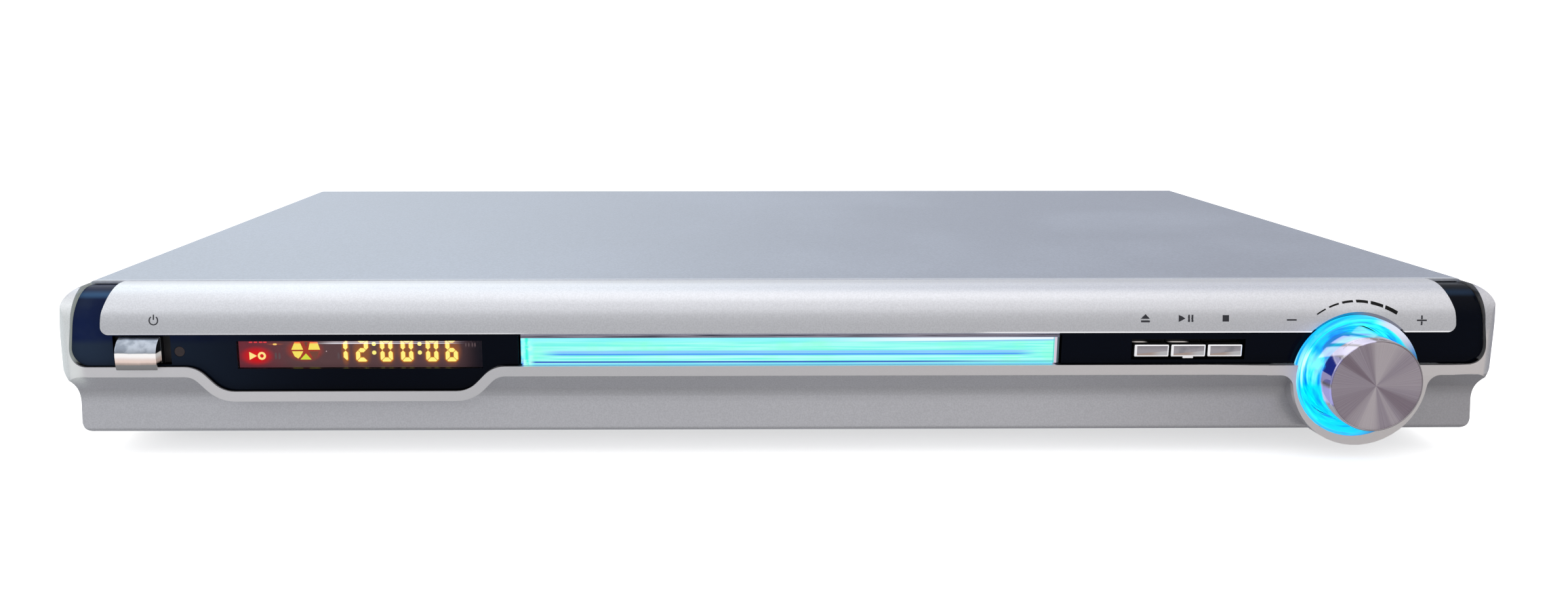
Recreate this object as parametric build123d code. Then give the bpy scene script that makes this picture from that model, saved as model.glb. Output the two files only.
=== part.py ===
from build123d import *
import os
from math import acos, asin, atan2, ceil, cos, degrees, pi, radians, sin, tan

# A slim silver disc player, in millimetres, modelled as it plays: tray shut, disc deck raised.
# Places across the front are worked out from RING_HALF, half the overall width.
# While it is modelled, X runs right, Y runs back from the visor's front face, and Z runs up from the
# table. The saved pieces are moved along Y so that the origin lies under the middle of the player.

# General clearances
FIT = 0.10
GAP = 0.30
PRESS_GAP = 0.40

# Case
CASE_INSET = 5.8
CASE_TOP = 52.4
FOOT_H = 8.0
COVER_FRONT = 14.0
COVER_LENGTH = 246.0
SHEET = 1.0
COVER_BEND = 2.0
PAN_FRONT = 26.0
PAN_FLANGE_H = 14.0
PAN_FRONT_LIP_H = 3.0
PAN_REAR_LIP_H = 6.5
SIDE_VENT_W = 3.0
SIDE_VENT_H = 22.0
SIDE_VENT_PITCH = 7.0
SIDE_VENT_COUNT = 10
SIDE_VENT_REAR = 110.0
FLOOR_VENT_L = 40.0
FLOOR_VENT_W = 4.0
FLOOR_VENT_PITCH = 12.0
FLOOR_VENT_COUNT = 6

# Case screws
SCREW_HEAD_R = 3.0
SCREW_HEAD_H = 1.6
SCREW_R = 1.5
SCREW_L = 6.0
SIDE_SCREW_Z = 17.0
SIDE_SCREW_INSET = 40.0

# Feet
FOOT_R = 20.0
FOOT_TOP_R = 18.0
FOOT_INSET = 33.2
FOOT_FRONT_INSET = 36.0
FOOT_REAR_INSET = 28.0
FOOT_PAD_R = 15.0
FOOT_PAD_H = 1.6
FOOT_PAD_SINK = 0.8
FOOT_POST_R = 3.0

# Front moulding
RING_HALF = 215.0
RING_SHOULDER_INSET = 3.5
RING_SIDE_R = 8.0
RING_TOP = 52.2
RING_WIDEST_Z = 29.0
RING_NECK_Z = 23.6
SHOULDER_R = 6.0
RING_SWELL_R = 5.5
RING_NECK_R = 4.0
FRAME_WALL = 2.2
FRAME_BACK = 24.0
FRAME_REAR_WALL_W = 4.0
NOSE_R = 11.2
LIP_PROUD = 1.0
LIP_W = 3.0
LIP_ROUND = 0.9
LIP_FADE = 12.0
LIP_FADE_R = 6.0
NECK_Y = 4.8
NECK_Z = 19.5
NECK_R = 6.0
SKIRT_Y = 2.4
SKIRT_INSET = 5.4
SKIRT_CORNER_R = 3.5
FRAME_POST_R = 3.2
FRAME_POST_BORE_R = 1.2
FRAME_POST_BORE_D = 8.0

# Black face behind the visor, with its bulge under the display
FACE_INSET = 4.4
FACE_LEAN = 2.9
FACE_Z = 28.9
FACE_CORNER_R = 5.0
FACE_SET_BACK = 1.0
FACE_PLATE = 1.8
FACE_POST_R = 2.0
FACE_POST_INSET = 6.0
KEY_POST_INSET = 8.0
FACE_POST_Z = 43.4
BULGE_EYE_GAP = 5.2
BULGE_DOOR_GAP = 8.25
BULGE_RUN = 7.4
BULGE_DROP = 7.5
BULGE_R = 8.5

# Visor
VISOR_INSET = 6.95
VISOR_Z = 38.5
VISOR_PLATE = 0.9
VISOR_CORNER_R = 2.2
VISOR_BEND_Z = 45.0
VISOR_BEND_IN = 0.5
VISOR_TOP_IN = 3.8
VISOR_BEND_R = 8.0
VISOR_GAP = 0.2

# Volume knob and its lit ring
KNOB_INSET = 39.0
KNOB_Z = 25.4
KNOB_R = 13.6
KNOB_BACK_R = 14.4
KNOB_PROUD = 13.2
KNOB_BACK = 7.0
KNOB_WALL = 1.8
KNOB_FACE_R = 12.6
KNOB_FACE_T = 0.8
KNOB_CHAMFER = 0.5
KNOB_HUB_R = 4.6
RING_LIGHT_R = 18.2
RING_LIGHT_MOUTH_R = 17.3
RING_LIGHT_BORE_R = 15.0
RING_LIGHT_BACK = 6.0
RING_LIGHT_SLOPE = 2.8
POD_R = 20.1
POD_SHIFT = 1.05
POD_PROUD = 2.0
POD_BACK = 9.0
POD_WEB_R = 4.0
VISOR_KNOB_CUT_R = 19.2
SHAFT_R = 3.0
SHAFT_FLAT = 1.0
SHAFT_FRONT = -9.0
ENCODER_SIZE = 13.0
ENCODER_DEPTH = 6.5
BUSH_R = 4.2
BUSH_L = 5.0
LED_RING_T = 1.2
LED_COUNT = 6
LED_SIZE = 2.4

# Buttons on the face
POWER_INSET = 20.9
POWER_Z = 33.6
POWER_W = 12.2
POWER_H = 8.2
POWER_HOLE_LEFT = 1.9
POWER_HOLE_RIGHT = 2.9
POWER_HOLE_H = 8.8
POWER_FLANGE_LEFT = 1.5
POWER_FLANGE_RIGHT = 0.6
POWER_BOW = 4.0
POWER_LOW = 1.1
POWER_REST_GAP = 1.1
POWER_TRAVEL = 0.8
KEY_SHIFT = 4.45
KEY_Z = 32.9
KEY_W = 10.75
KEY_H = 3.6
KEY_PITCH = 10.95
KEY_HOLE_W = 34.0
KEY_HOLE_H = 6.2
KEY_TRAVEL = 0.6
KEY_PROUD = 0.6
KEY_FLANGE_H = 0.9
KEY_FLANGE_T = 1.0
KEY_STEM = 3.0
KEY_NUB_W = 3.2
KEY_NUB_H = 0.6
SWITCH_SIZE = 6.0
SWITCH_BODY = 3.5
SWITCH_PLUNGER_R = 1.7
SWITCH_PLUNGER_H = 1.5

# Display and remote eye
WINDOW_MARGIN_LEFT = 11.8
WINDOW_MARGIN_RIGHT = 3.35
WINDOW_Z = 32.1
WINDOW_H = 8.2
WINDOW_T = 2.0
VFD_MARGIN = 2.8
VFD_H = 15.0
VFD_T = 6.0
VFD_DROP = 1.9
EYE_GAP = 2.5
EYE_Z = 33.2
EYE_R = 1.5
EYE_BODY_W = 6.0
EYE_BODY_H = 7.0
EYE_BODY_D = 6.0

# Boards behind the face
BOARD_T = 1.6
FRONT_BOARD_Y = 21.0
FRONT_BOARD_Z = 12.0
FRONT_BOARD_H = 34.0
FRONT_BOARD_INSET = 6.2
DISPLAY_BOARD_OVER = 1.45
CONTROL_BOARD_MARGIN = 7.6

# Tray and door
TRAY_X = 2.8
DOOR_W = 160.0
DOOR_Z = 29.3
DOOR_H = 8.0
DOOR_FRONT = 0.4
DOOR_T = 5.2
DOOR_SLOT_GAP = 0.9
DOOR_SLOT_LIFT = 0.35
LIGHT_BAR_W = 150.0
LIGHT_BAR_H = 4.2
LIGHT_BAR_T = 2.4
TRAY_HALF = 74.0
TRAY_REAR_RIM = 10.0
TRAY_RAIL = 3.0
TRAY_RAIL_H = 2.0
TRAY_REAR = 196.0
TRAY_RIM_H = 7.3
TRAY_FLOOR_UP = 2.3
TRAY_FLOOR_T = 1.7
TRAY_TRAVEL = 140.0
DISC_Y = 76.0
DISC_RECESS_R = 61.0
SMALL_DISC_R = 41.0
SMALL_RECESS = 0.8
TRAY_HUB_HOLE_R = 18.0
TRAY_SLOT_HALF = 24.0
FINGER_NOTCH_R = 12.0

# Gears of the tray drive
RACK_X = -58.0
RACK_MODULE = 1.0
RACK_BACK = 2.6
RACK_FRONT_TEETH = 2
PINION_TEETH = 16
WHEEL_MODULE = 0.8
WHEEL_TEETH = 36
IDLER_TEETH = 12
BACKLASH = 0.14
TIP_GAP = 0.25
PRESSURE_ANGLE = 20.0
GEAR_Y = 38.0
PINION_L = 2.6
WHEEL_T = 3.4
WHEEL_Z = 19.0
GEAR_AXLE_R = 1.5
GEAR_AXLE_FIT = 0.05
PULLEY_R = 11.0
PULLEY_T = 3.2
PULLEY_Z = 14.6
MOTOR_PULLEY_R = 3.2
PULLEY_RIM = 0.9
BELT_W = 1.4
MOTOR_GAP_X = 41.0
MOTOR_R = 11.0
MOTOR_H = 10.0
MOTOR_SHAFT_R = 1.0

# Loader frame
LOADER_Y = 25.0
LOADER_REAR = 208.0
LOADER_Z = 12.0
LOADER_FLOOR = 2.0
LOADER_WALL = 3.0
LOADER_TOP = 38.2
LOADER_EAR = 8.0
LOADER_EAR_L = 14.0
WELL_HALF = 56.0
WELL_FRONT = 59.2
WELL_REAR = 200.0
GROOVE_DEPTH = 2.4
LOADER_SCREW_R = 1.4

# Lifting deck
HINGE_Y = 192.0
HINGE_Z = 23.6
HINGE_R = 2.0
HINGE_FIT = 0.06
LIFT = 6.8
DECK_HALF = 52.0
DECK_FRONT = 60.0
DECK_BAR = 9.0
DECK_Z = 21.0
DECK_H = 5.4
PLATE_T = 1.2
PLATE_LIFT = 0.3
PLATE_MARGIN = 3.0
DAMPER_R = 4.0
DAMPER_SINK = 2.0
CAM_PIN_R = 1.5
CAM_PIN_X = 30.0
CAM_PIN_Z = 24.6
CAM_PIN_L = 4.6
CAM_TRAVEL = 18.0
CAM_Y = 56.2
CAM_T = 2.4
CAM_Z = 14.3
CAM_H = 13.4
CAM_HALF = 46.0
CAM_SLOT_FIT = 0.25
CAM_FOOT = 4.0

# Spindle
SPINDLE_R = 1.0
SEAT_Z = 36.0
TURNTABLE_R = 14.8
TURNTABLE_T = 1.8
TURNTABLE_HUB_R = 5.0
CONE_R = 7.4
CONE_H = 2.2
SPINDLE_MOTOR_R = 12.4
SPINDLE_MOTOR_H = 6.6

# Pickup
LENS_INNER = 24.0
SLED_TRAVEL = 34.0
ROD_SCREW_GAP = 8.0
ROD_Z = 23.2
ROD_R = 1.5
ROD_FIT = 0.05
ROD_FRONT = 86.0
SLED_ROD_GAP = 9.0
SLED_AHEAD = 10.2
SLED_BEHIND = 17.0
SLED_Z = 19.6
SLED_H = 10.6
SLED_ARM_Y = 12.0
LENS_TOP = 34.7
LENS_R = 3.2
LENS_HOLDER = 12.0
LENS_HOLDER_T = 2.4
LENS_WALL = 1.6
SLED_MOTOR_GAP = 2.0
LEAD_R = 1.4
LEAD_COLLAR_R = 2.6
SLED_MOTOR_R = 5.0
SLED_MOTOR_L = 12.0

# Clamp over the disc
BRIDGE_Z = 39.0
BRIDGE_T = 1.2
BRIDGE_W = 44.0
BRIDGE_HOLE_R = 16.2
CLAMP_R = 15.6
CLAMP_FLANGE_R = 18.6
CLAMP_FLANGE_T = 1.6
CLAMP_BOTTOM = 37.6
CLAMP_RECESS_R = 9.0
CLAMP_RECESS = 3.2
CLAMP_CAP_R = 10.0
CLAMP_CAP_T = 2.2
BRIDGE_RIB = 1.8

# Boards in the case
BOARD_INSET = 7.2
MAIN_GAP = 8.9
MAIN_FRONT = 62.0
POWER_GAP = 9.5
POWER_FRONT = 96.0
BOARD_REAR_GAP = 4.0
BOARD_Z = 15.0
POST_R = 3.0
POST_BORE_R = 1.2
POST_INSET = 6.0

# Rear sockets
REAR_PANEL_INSET = 1.0
REAR_FOLD_INSET = 4.0
REAR_FOLD_D = 8.0
JACK_R = 4.1
JACK_L = 8.0
JACK_BORE_R = 1.7
JACK_BORE_L = 7.0
JACK_PITCH = 14.0
JACK_BLOCK_D = 12.0
JACK_ROW_LOW = 22.0
JACK_ROW_HIGH = 36.0
JACK_HOLE_GAP = 0.7
VIDEO_JACKS_INSET = 17.0
AUDIO_JACKS_INSET = 35.0
INLET_INSET = 26.0
INLET_Z = 27.0
INLET_W = 21.0
INLET_H = 14.0
INLET_D = 20.0
INLET_FLANGE = 3.0
INLET_FLANGE_T = 1.8
INLET_HOLE_R = 4.6
INLET_HOLE_STEP = 3.6
INLET_RECESS = 12.0
INLET_PIN_R = 1.15
INLET_PIN_STEP = 4.3

# Parts on the power board
CORE_W = 34.0
CORE_D = 28.0
CORE_H = 23.0
CORE_LIFT = 3.0
WINDING_W = 24.0
WINDING_D = 38.0
WINDING_INSET = 4.0
BIG_CAN_R = 9.0
BIG_CAN_H = 27.0
BIG_CAN_Y = 55.0
BIG_CAN_INSET = 22.0
SMALL_CAN_R = 5.0
SMALL_CAN_H = 16.0
SMALL_CAN_PITCH = 16.0
SMALL_CAN_COUNT = 4
SMALL_CAN_INSET = 12.0
SINK_INSET = 14.0
SINK_T = 2.0
SINK_L = 40.0
SINK_H = 26.0
SINK_FIN_L = 7.0
SINK_FIN_T = 1.4
SINK_FINS = 6

# Chips on the main board: X from its middle, Y from its front, width and depth
CHIP_T = 2.4
CHIPS = (
    (-1.0, 48.0, 28.0, 28.0),
    (-1.0, 84.0, 11.0, 20.0),
    (-26.0, 50.0, 16.0, 12.0),
    (27.0, 98.0, 14.0, 18.0),
    (-27.0, 114.0, 12.0, 20.0),
)

# Flat cable
RIBBON_T = 0.6
RIBBON_W = 20.0
RIBBON_Z = 30.0
RIBBON_OUT = 12.0
RIBBON_RISE = 5.0
RIBBON_IN = 8.0
RIBBON_BEND_R = 2.0

# Worked-out places
CASE_REAR = COVER_FRONT + COVER_LENGTH
CASE_HALF = RING_HALF - CASE_INSET
RING_SHOULDER_HALF = RING_HALF - RING_SHOULDER_INSET
SKIRT_HALF = RING_HALF - SKIRT_INSET
FACE_HALF = RING_HALF - FACE_INSET
FACE_TOP_HALF = FACE_HALF - FACE_LEAN
VISOR_HALF = FACE_TOP_HALF - VISOR_INSET
FOOT_X = CASE_HALF - FOOT_INSET
FOOT_FRONT_Y = PAN_FRONT + FOOT_FRONT_INSET
FOOT_REAR_Y = CASE_REAR - FOOT_REAR_INSET
KNOB_X = FACE_HALF - KNOB_INSET
POWER_X = POWER_INSET - FACE_HALF
EYE_X = POWER_X + POWER_W / 2 + POWER_HOLE_RIGHT + EYE_GAP
BULGE_LEFT = EYE_X + BULGE_EYE_GAP
BULGE_RIGHT = TRAY_X - DOOR_W / 2 - BULGE_DOOR_GAP
WINDOW_LEFT = BULGE_LEFT + WINDOW_MARGIN_LEFT
WINDOW_RIGHT = BULGE_RIGHT - WINDOW_MARGIN_RIGHT
WINDOW_W = WINDOW_RIGHT - WINDOW_LEFT
WINDOW_X = (WINDOW_LEFT + WINDOW_RIGHT) / 2
VFD_W = WINDOW_W + 2 * VFD_MARGIN
VFD_Z = WINDOW_Z - VFD_DROP
KEY_X = (TRAY_X + DOOR_W / 2 + KNOB_X - POD_R) / 2 + KEY_SHIFT
DISPLAY_BOARD_LEFT = FRONT_BOARD_INSET - CASE_HALF
DISPLAY_BOARD_RIGHT = BULGE_RIGHT + DISPLAY_BOARD_OVER
CONTROL_BOARD_LEFT = KEY_X - KEY_HOLE_W / 2 - CONTROL_BOARD_MARGIN
CONTROL_BOARD_RIGHT = CASE_HALF - FRONT_BOARD_INSET
REAR_FACE = CASE_REAR - REAR_PANEL_INSET
PAN_TOP = FOOT_H + SHEET
PAN_HALF = CASE_HALF - SHEET - GAP
ORIGIN_Y = (REAR_FACE + JACK_L - KNOB_PROUD) / 2
FACE_BACK = FACE_SET_BACK + FACE_PLATE
TRAY_FRONT = DOOR_FRONT + DOOR_T + FIT
TRAY_Z = DOOR_Z
TRAY_FLOOR_Z = TRAY_Z + TRAY_FLOOR_UP
TRAY_TOP = TRAY_Z + TRAY_RIM_H
RAIL_Z = TRAY_FLOOR_Z
LOADER_HALF = TRAY_HALF + TRAY_RAIL + GAP
LOADER_OUT = LOADER_HALF + LOADER_WALL
MAIN_LEFT = TRAY_X + LOADER_OUT + LOADER_EAR + MAIN_GAP
MAIN_RIGHT = CASE_HALF - BOARD_INSET
POWER_LEFT = BOARD_INSET - CASE_HALF
POWER_RIGHT = TRAY_X - LOADER_OUT - LOADER_EAR - POWER_GAP
VIDEO_JACKS_X = MAIN_RIGHT - VIDEO_JACKS_INSET
AUDIO_JACKS_X = MAIN_LEFT + AUDIO_JACKS_INSET
INLET_X = POWER_LEFT + INLET_INSET
RACK_REAR_TEETH = ceil(TRAY_TRAVEL / (pi * RACK_MODULE)) + 1
PINION_R = RACK_MODULE * PINION_TEETH / 2
WHEEL_R = WHEEL_MODULE * WHEEL_TEETH / 2
IDLER_R = WHEEL_MODULE * IDLER_TEETH / 2
DRIVE_X = RACK_X + PINION_R
IDLER_X = DRIVE_X + WHEEL_R + IDLER_R
MOTOR_X = IDLER_X + MOTOR_GAP_X
LOADER_FLOOR_TOP = LOADER_Z + LOADER_FLOOR
PINION_Z = TRAY_FLOOR_Z - GAP - PINION_L
SCREW_X = DECK_HALF - DECK_BAR - SLED_MOTOR_R - SLED_MOTOR_GAP
ROD_X = SCREW_X - ROD_SCREW_GAP
SLED_HALF = ROD_X - SLED_ROD_GAP
PLATE_Z = DECK_Z + DECK_H + PLATE_LIFT
PLATE_TOP = PLATE_Z + PLATE_T
LIFT_ANGLE = degrees(asin(LIFT / (HINGE_Y - DISC_Y)))
CAM_DROP = (HINGE_Y - CAM_Y) * sin(radians(LIFT_ANGLE))
LENS_Y = DISC_Y + LENS_INNER
TRANSFORMER_Y = POWER_FRONT + CORE_D + WINDING_D / 2 - 2 * SINK_T
ROD_REAR = LENS_Y + SLED_AHEAD + SLED_ARM_Y + SLED_TRAVEL + 3.8
SWITCH_FRONT = FRONT_BOARD_Y - SWITCH_BODY - SWITCH_PLUNGER_H
BRIDGE_TOP = BRIDGE_Z + BRIDGE_T


def block(x, y, z):
    """A box from three (low, high) pairs."""
    middle = Pos((x[0] + x[1]) / 2, (y[0] + y[1]) / 2, (z[0] + z[1]) / 2)
    return middle * Box(x[1] - x[0], y[1] - y[0], z[1] - z[0])


def centred(place, half):
    """A (low, high) pair on both sides of a place."""
    return (place - half, place + half)


def front_prism(sketch, y):
    """A sketch of X and Z, pushed along Y."""
    return Pos(0, y[1], 0) * extrude(Plane.XZ * sketch, y[1] - y[0])


def side_prism(sketch, x):
    """A sketch of Y and Z, pushed along X."""
    return Pos(x[0], 0, 0) * extrude(Plane.YZ * sketch, x[1] - x[0])


def flat_prism(sketch, z):
    """A sketch of X and Y, pushed along Z."""
    return Pos(0, 0, z[0]) * extrude(sketch, z[1] - z[0])


def rod_x(radius, x, y, z):
    return side_prism(Pos(y, z) * Circle(radius), x)


def rod_y(radius, x, y, z):
    return front_prism(Pos(x, z) * Circle(radius), y)


def rod_z(radius, x, y, z):
    return flat_prism(Pos(x, y) * Circle(radius), z)


def turned_y(points, x, z):
    """A closed outline of (radius, Y) points, turned about an axis along Y."""
    outline = make_face(Polyline(*points, close=True))
    return Pos(x, 0, z) * revolve(outline, Axis.Y)


def turned_z(points, x, y):
    """A closed outline of (radius, Z) points, turned about an upright axis."""
    outline = make_face(Polyline(*points, close=True))
    return Pos(x, y, 0) * revolve(Plane.XZ * outline, Axis.Z)


def closed(*lines):
    """A face inside lines that meet end to end."""
    edges = [edge for line in lines for edge in line.edges()]
    return make_face(edges)


def save(name, *pieces):
    """Writes the pieces as one named part, moved so that the origin lies under the player's middle."""
    joined = Part() + [Pos(0, -ORIGIN_Y, 0) * piece for piece in pieces]
    export_step(joined, f"parts/{name}.step")


# Front outlines


def silhouette():
    """The front moulding's outline, widest beside the black face and necked in to the skirt."""
    right = FilletPolyline(
        (0, RING_TOP),
        (RING_SHOULDER_HALF, RING_TOP),
        (RING_HALF + 0.35, RING_WIDEST_Z),
        (SKIRT_HALF + 0.8, RING_NECK_Z),
        (SKIRT_HALF, FOOT_H),
        (0, FOOT_H),
        radius=[SHOULDER_R, RING_SWELL_R, RING_NECK_R, SKIRT_CORNER_R],
    )
    half = closed(right, Line((0, FOOT_H), (0, RING_TOP)))
    return half + mirror(half, Plane.YZ)


def face_outline(grow, top):
    """The black face's outline, grown by a margin and closed at the given height."""
    shift = grow * tan(atan2(BULGE_DROP, BULGE_RUN) / 2)
    low = FACE_Z - grow
    line = FilletPolyline(
        (-FACE_TOP_HALF - grow, top),
        (-FACE_HALF - grow, low),
        (BULGE_LEFT - shift, low),
        (BULGE_LEFT + BULGE_RUN - shift, low - BULGE_DROP),
        (BULGE_RIGHT - BULGE_RUN + shift, low - BULGE_DROP),
        (BULGE_RIGHT + shift, low),
        (FACE_HALF + grow, low),
        (FACE_TOP_HALF + grow, top),
        radius=[
            FACE_CORNER_R + grow,
            BULGE_R - grow,
            BULGE_R + grow,
            BULGE_R + grow,
            BULGE_R - grow,
            FACE_CORNER_R + grow,
        ],
    )
    return closed(line, Line((FACE_TOP_HALF + grow, top), (-FACE_TOP_HALF - grow, top)))


def ring_plan():
    """The front moulding seen from above, with well-rounded front corners."""
    back = FRAME_BACK + 1
    line = FilletPolyline(
        (-RING_HALF, back), (-RING_HALF, -LIP_PROUD), (RING_HALF, -LIP_PROUD), (RING_HALF, back), radius=RING_SIDE_R
    )
    return closed(line, Line((RING_HALF, back), (-RING_HALF, back)))


def pod_outline():
    """The round pod under the knob, wider at the lower right, with webs that flow into the lip."""
    low = FACE_Z - LIP_W
    middle = KNOB_X + POD_SHIFT
    bar = Pos(middle, low + LIP_W / 2) * Rectangle(2 * (POD_R + POD_WEB_R + 4), LIP_W)
    joined = bar + Pos(middle, KNOB_Z - POD_SHIFT) * Circle(POD_R)
    corners = [v for v in joined.vertices() if abs(v.Y - low) < 0.01 and abs(v.X - middle) < POD_R + 0.1]
    return fillet(corners, POD_WEB_R)


def curved_sheet(set_back, thickness, low):
    """A sheet that stands behind the front plane and curves back over the top to the cover."""
    back = COVER_FRONT - VISOR_GAP
    outer = FilletPolyline(
        (set_back, low), (set_back, RING_TOP - set_back), (back, RING_TOP - set_back), radius=NOSE_R - set_back
    )
    inset = set_back + thickness
    inner = FilletPolyline((inset, low), (inset, RING_TOP - inset), (back, RING_TOP - inset), radius=NOSE_R - inset)
    foot = Line((inset, low), (set_back, low))
    end = Line((back, RING_TOP - set_back), (back, RING_TOP - inset))
    return side_prism(closed(outer, end, inner, foot), (-RING_HALF, RING_HALF))


# Case


def case_posts(x, y, top):
    """Upright posts on the pan at the corners of a rectangle."""
    posts = []
    for px in x:
        for py in y:
            posts.append(rod_z(POST_R, px, py, (PAN_TOP, top)) - rod_z(POST_BORE_R, px, py, (PAN_TOP, top)))
    return posts


def loader_ear_places():
    xs = (TRAY_X - LOADER_OUT - LOADER_EAR / 2, TRAY_X + LOADER_OUT + LOADER_EAR / 2)
    ys = (LOADER_Y + 2 * LOADER_EAR, LOADER_REAR - 2 * LOADER_EAR)
    return xs, ys


def board_post_places(left, right, front):
    rear = REAR_FACE - BOARD_REAR_GAP - SHEET
    xs = (left + POST_INSET, right - POST_INSET)
    ys = (front + POST_INSET, rear - POST_INSET - JACK_BLOCK_D)
    return xs, ys


def foot_places():
    return {
        "foot_front_left": (-FOOT_X, FOOT_FRONT_Y),
        "foot_front_right": (FOOT_X, FOOT_FRONT_Y),
        "foot_rear_left": (-FOOT_X, FOOT_REAR_Y),
        "foot_rear_right": (FOOT_X, FOOT_REAR_Y),
    }


def side_screw_places():
    ys = (COVER_FRONT + SIDE_SCREW_INSET, CASE_REAR - SIDE_SCREW_INSET)
    return [(side, y) for side in (-1, 1) for y in ys]


def chassis_pan():
    rear = REAR_FACE - SHEET - GAP
    floor = block((-PAN_HALF, PAN_HALF), (PAN_FRONT, rear), (FOOT_H, PAN_TOP))
    sides = [
        block(sorted((side * PAN_HALF, side * (PAN_HALF - SHEET))), (PAN_FRONT, rear), (FOOT_H, FOOT_H + PAN_FLANGE_H))
        for side in (-1, 1)
    ]
    front = block((-PAN_HALF, PAN_HALF), (PAN_FRONT, PAN_FRONT + SHEET), (FOOT_H, FOOT_H + PAN_FRONT_LIP_H))
    back = block((-PAN_HALF, PAN_HALF), (rear - SHEET, rear), (FOOT_H, FOOT_H + PAN_REAR_LIP_H))
    pan = floor + sides + front + back
    pan += case_posts(*loader_ear_places(), LOADER_Z)
    pan += case_posts(*board_post_places(MAIN_LEFT, MAIN_RIGHT, MAIN_FRONT), BOARD_Z)
    pan += case_posts(*board_post_places(POWER_LEFT, POWER_RIGHT, POWER_FRONT), BOARD_Z)
    for x, y in foot_places().values():
        pan -= rod_z(FOOT_POST_R + FIT, x, y, (FOOT_H - 1, PAN_TOP + 1))
    for side, y in side_screw_places():
        pan -= rod_x(SCREW_R + FIT, sorted((side * (PAN_HALF - 2 * SHEET), side * CASE_HALF)), y, SIDE_SCREW_Z)
    for row in range(FLOOR_VENT_COUNT):
        y = POWER_FRONT + 20 + row * FLOOR_VENT_PITCH
        for x in (MAIN_LEFT + FLOOR_VENT_L, POWER_RIGHT - FLOOR_VENT_L):
            slot = Pos(x, y) * SlotOverall(FLOOR_VENT_L, FLOOR_VENT_W)
            pan -= flat_prism(slot, (FOOT_H - 1, PAN_TOP + 1))
    return pan


def top_cover():
    half = CASE_HALF
    outer = Pos(0, (CASE_TOP + PAN_TOP) / 2) * Rectangle(2 * half, CASE_TOP - PAN_TOP)
    top_corners = outer.vertices().group_by(Axis.Y)[-1]
    outer = fillet(top_corners, COVER_BEND)
    inner = Pos(0, (CASE_TOP + PAN_TOP) / 2 - SHEET) * Rectangle(2 * (half - SHEET), CASE_TOP - PAN_TOP)
    inner = fillet(inner.vertices().group_by(Axis.Y)[-1], COVER_BEND - SHEET)
    cover = front_prism(outer - inner, (COVER_FRONT, CASE_REAR))
    cover -= block((-RING_HALF, RING_HALF), (COVER_FRONT, FRAME_BACK + GAP), (FOOT_H, CASE_TOP - 2 * COVER_BEND))
    for side, y in side_screw_places():
        cover -= rod_x(SCREW_R + FIT, sorted((side * (half - 2 * SHEET), side * (half + 1))), y, SIDE_SCREW_Z)
    vent = SlotOverall(SIDE_VENT_H, SIDE_VENT_W)
    for index in range(SIDE_VENT_COUNT):
        place = Pos(CASE_REAR - SIDE_VENT_REAR + index * SIDE_VENT_PITCH, (FOOT_H + CASE_TOP) / 2 + 2)
        for x in ((-half - 1, -half + 2 * SHEET), (half - 2 * SHEET, half + 1)):
            cover -= side_prism(place * Rot(0, 0, 90) * vent, x)
    return cover


def cover_screws():
    screws = []
    for side, y in side_screw_places():
        head = rod_x(SCREW_HEAD_R, sorted((side * CASE_HALF, side * (CASE_HALF + SCREW_HEAD_H))), y, SIDE_SCREW_Z)
        shank = rod_x(SCREW_R, sorted((side * (CASE_HALF - SCREW_L), side * CASE_HALF)), y, SIDE_SCREW_Z)
        screws.append(head + shank)
    return screws


def foot(x, y):
    """A turned foot with a pad recess below and a post that snaps through the pan."""
    top = FOOT_H
    low = FOOT_PAD_H - FOOT_PAD_SINK
    outline = [
        (0, FOOT_PAD_H),
        (FOOT_PAD_R + FIT, FOOT_PAD_H),
        (FOOT_PAD_R + FIT, low),
        (FOOT_R - 1, low),
        (FOOT_R, low + 1),
        (FOOT_R, top / 2),
        (FOOT_TOP_R, top),
        (FOOT_POST_R, top),
        (FOOT_POST_R, PAN_TOP + SHEET),
        (0, PAN_TOP + SHEET),
    ]
    return turned_z(outline, x, y)


def foot_pads():
    return [rod_z(FOOT_PAD_R, x, y, (0, FOOT_PAD_H)) for x, y in foot_places().values()]


def rear_panel():
    low = PAN_TOP
    panel = block((-PAN_HALF, PAN_HALF), (REAR_FACE - SHEET, REAR_FACE), (low, CASE_TOP - SHEET - GAP))
    for x, z in jack_places():
        panel -= rod_y(JACK_R + JACK_HOLE_GAP, x, (REAR_FACE - 2 * SHEET, REAR_FACE + 1), z)
    inlet = (centred(INLET_X, INLET_W / 2 + FIT), centred(INLET_Z, INLET_H / 2 + FIT))
    panel -= block(inlet[0], (REAR_FACE - 2 * SHEET, REAR_FACE + 1), inlet[1])
    fold_half = PAN_HALF - REAR_FOLD_INSET
    fold = block((-fold_half, fold_half), (REAR_FACE - SHEET - REAR_FOLD_D, REAR_FACE - SHEET), (0, SHEET))
    return panel + Pos(0, 0, CASE_TOP - 2 * SHEET - GAP) * fold


# Front


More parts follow.
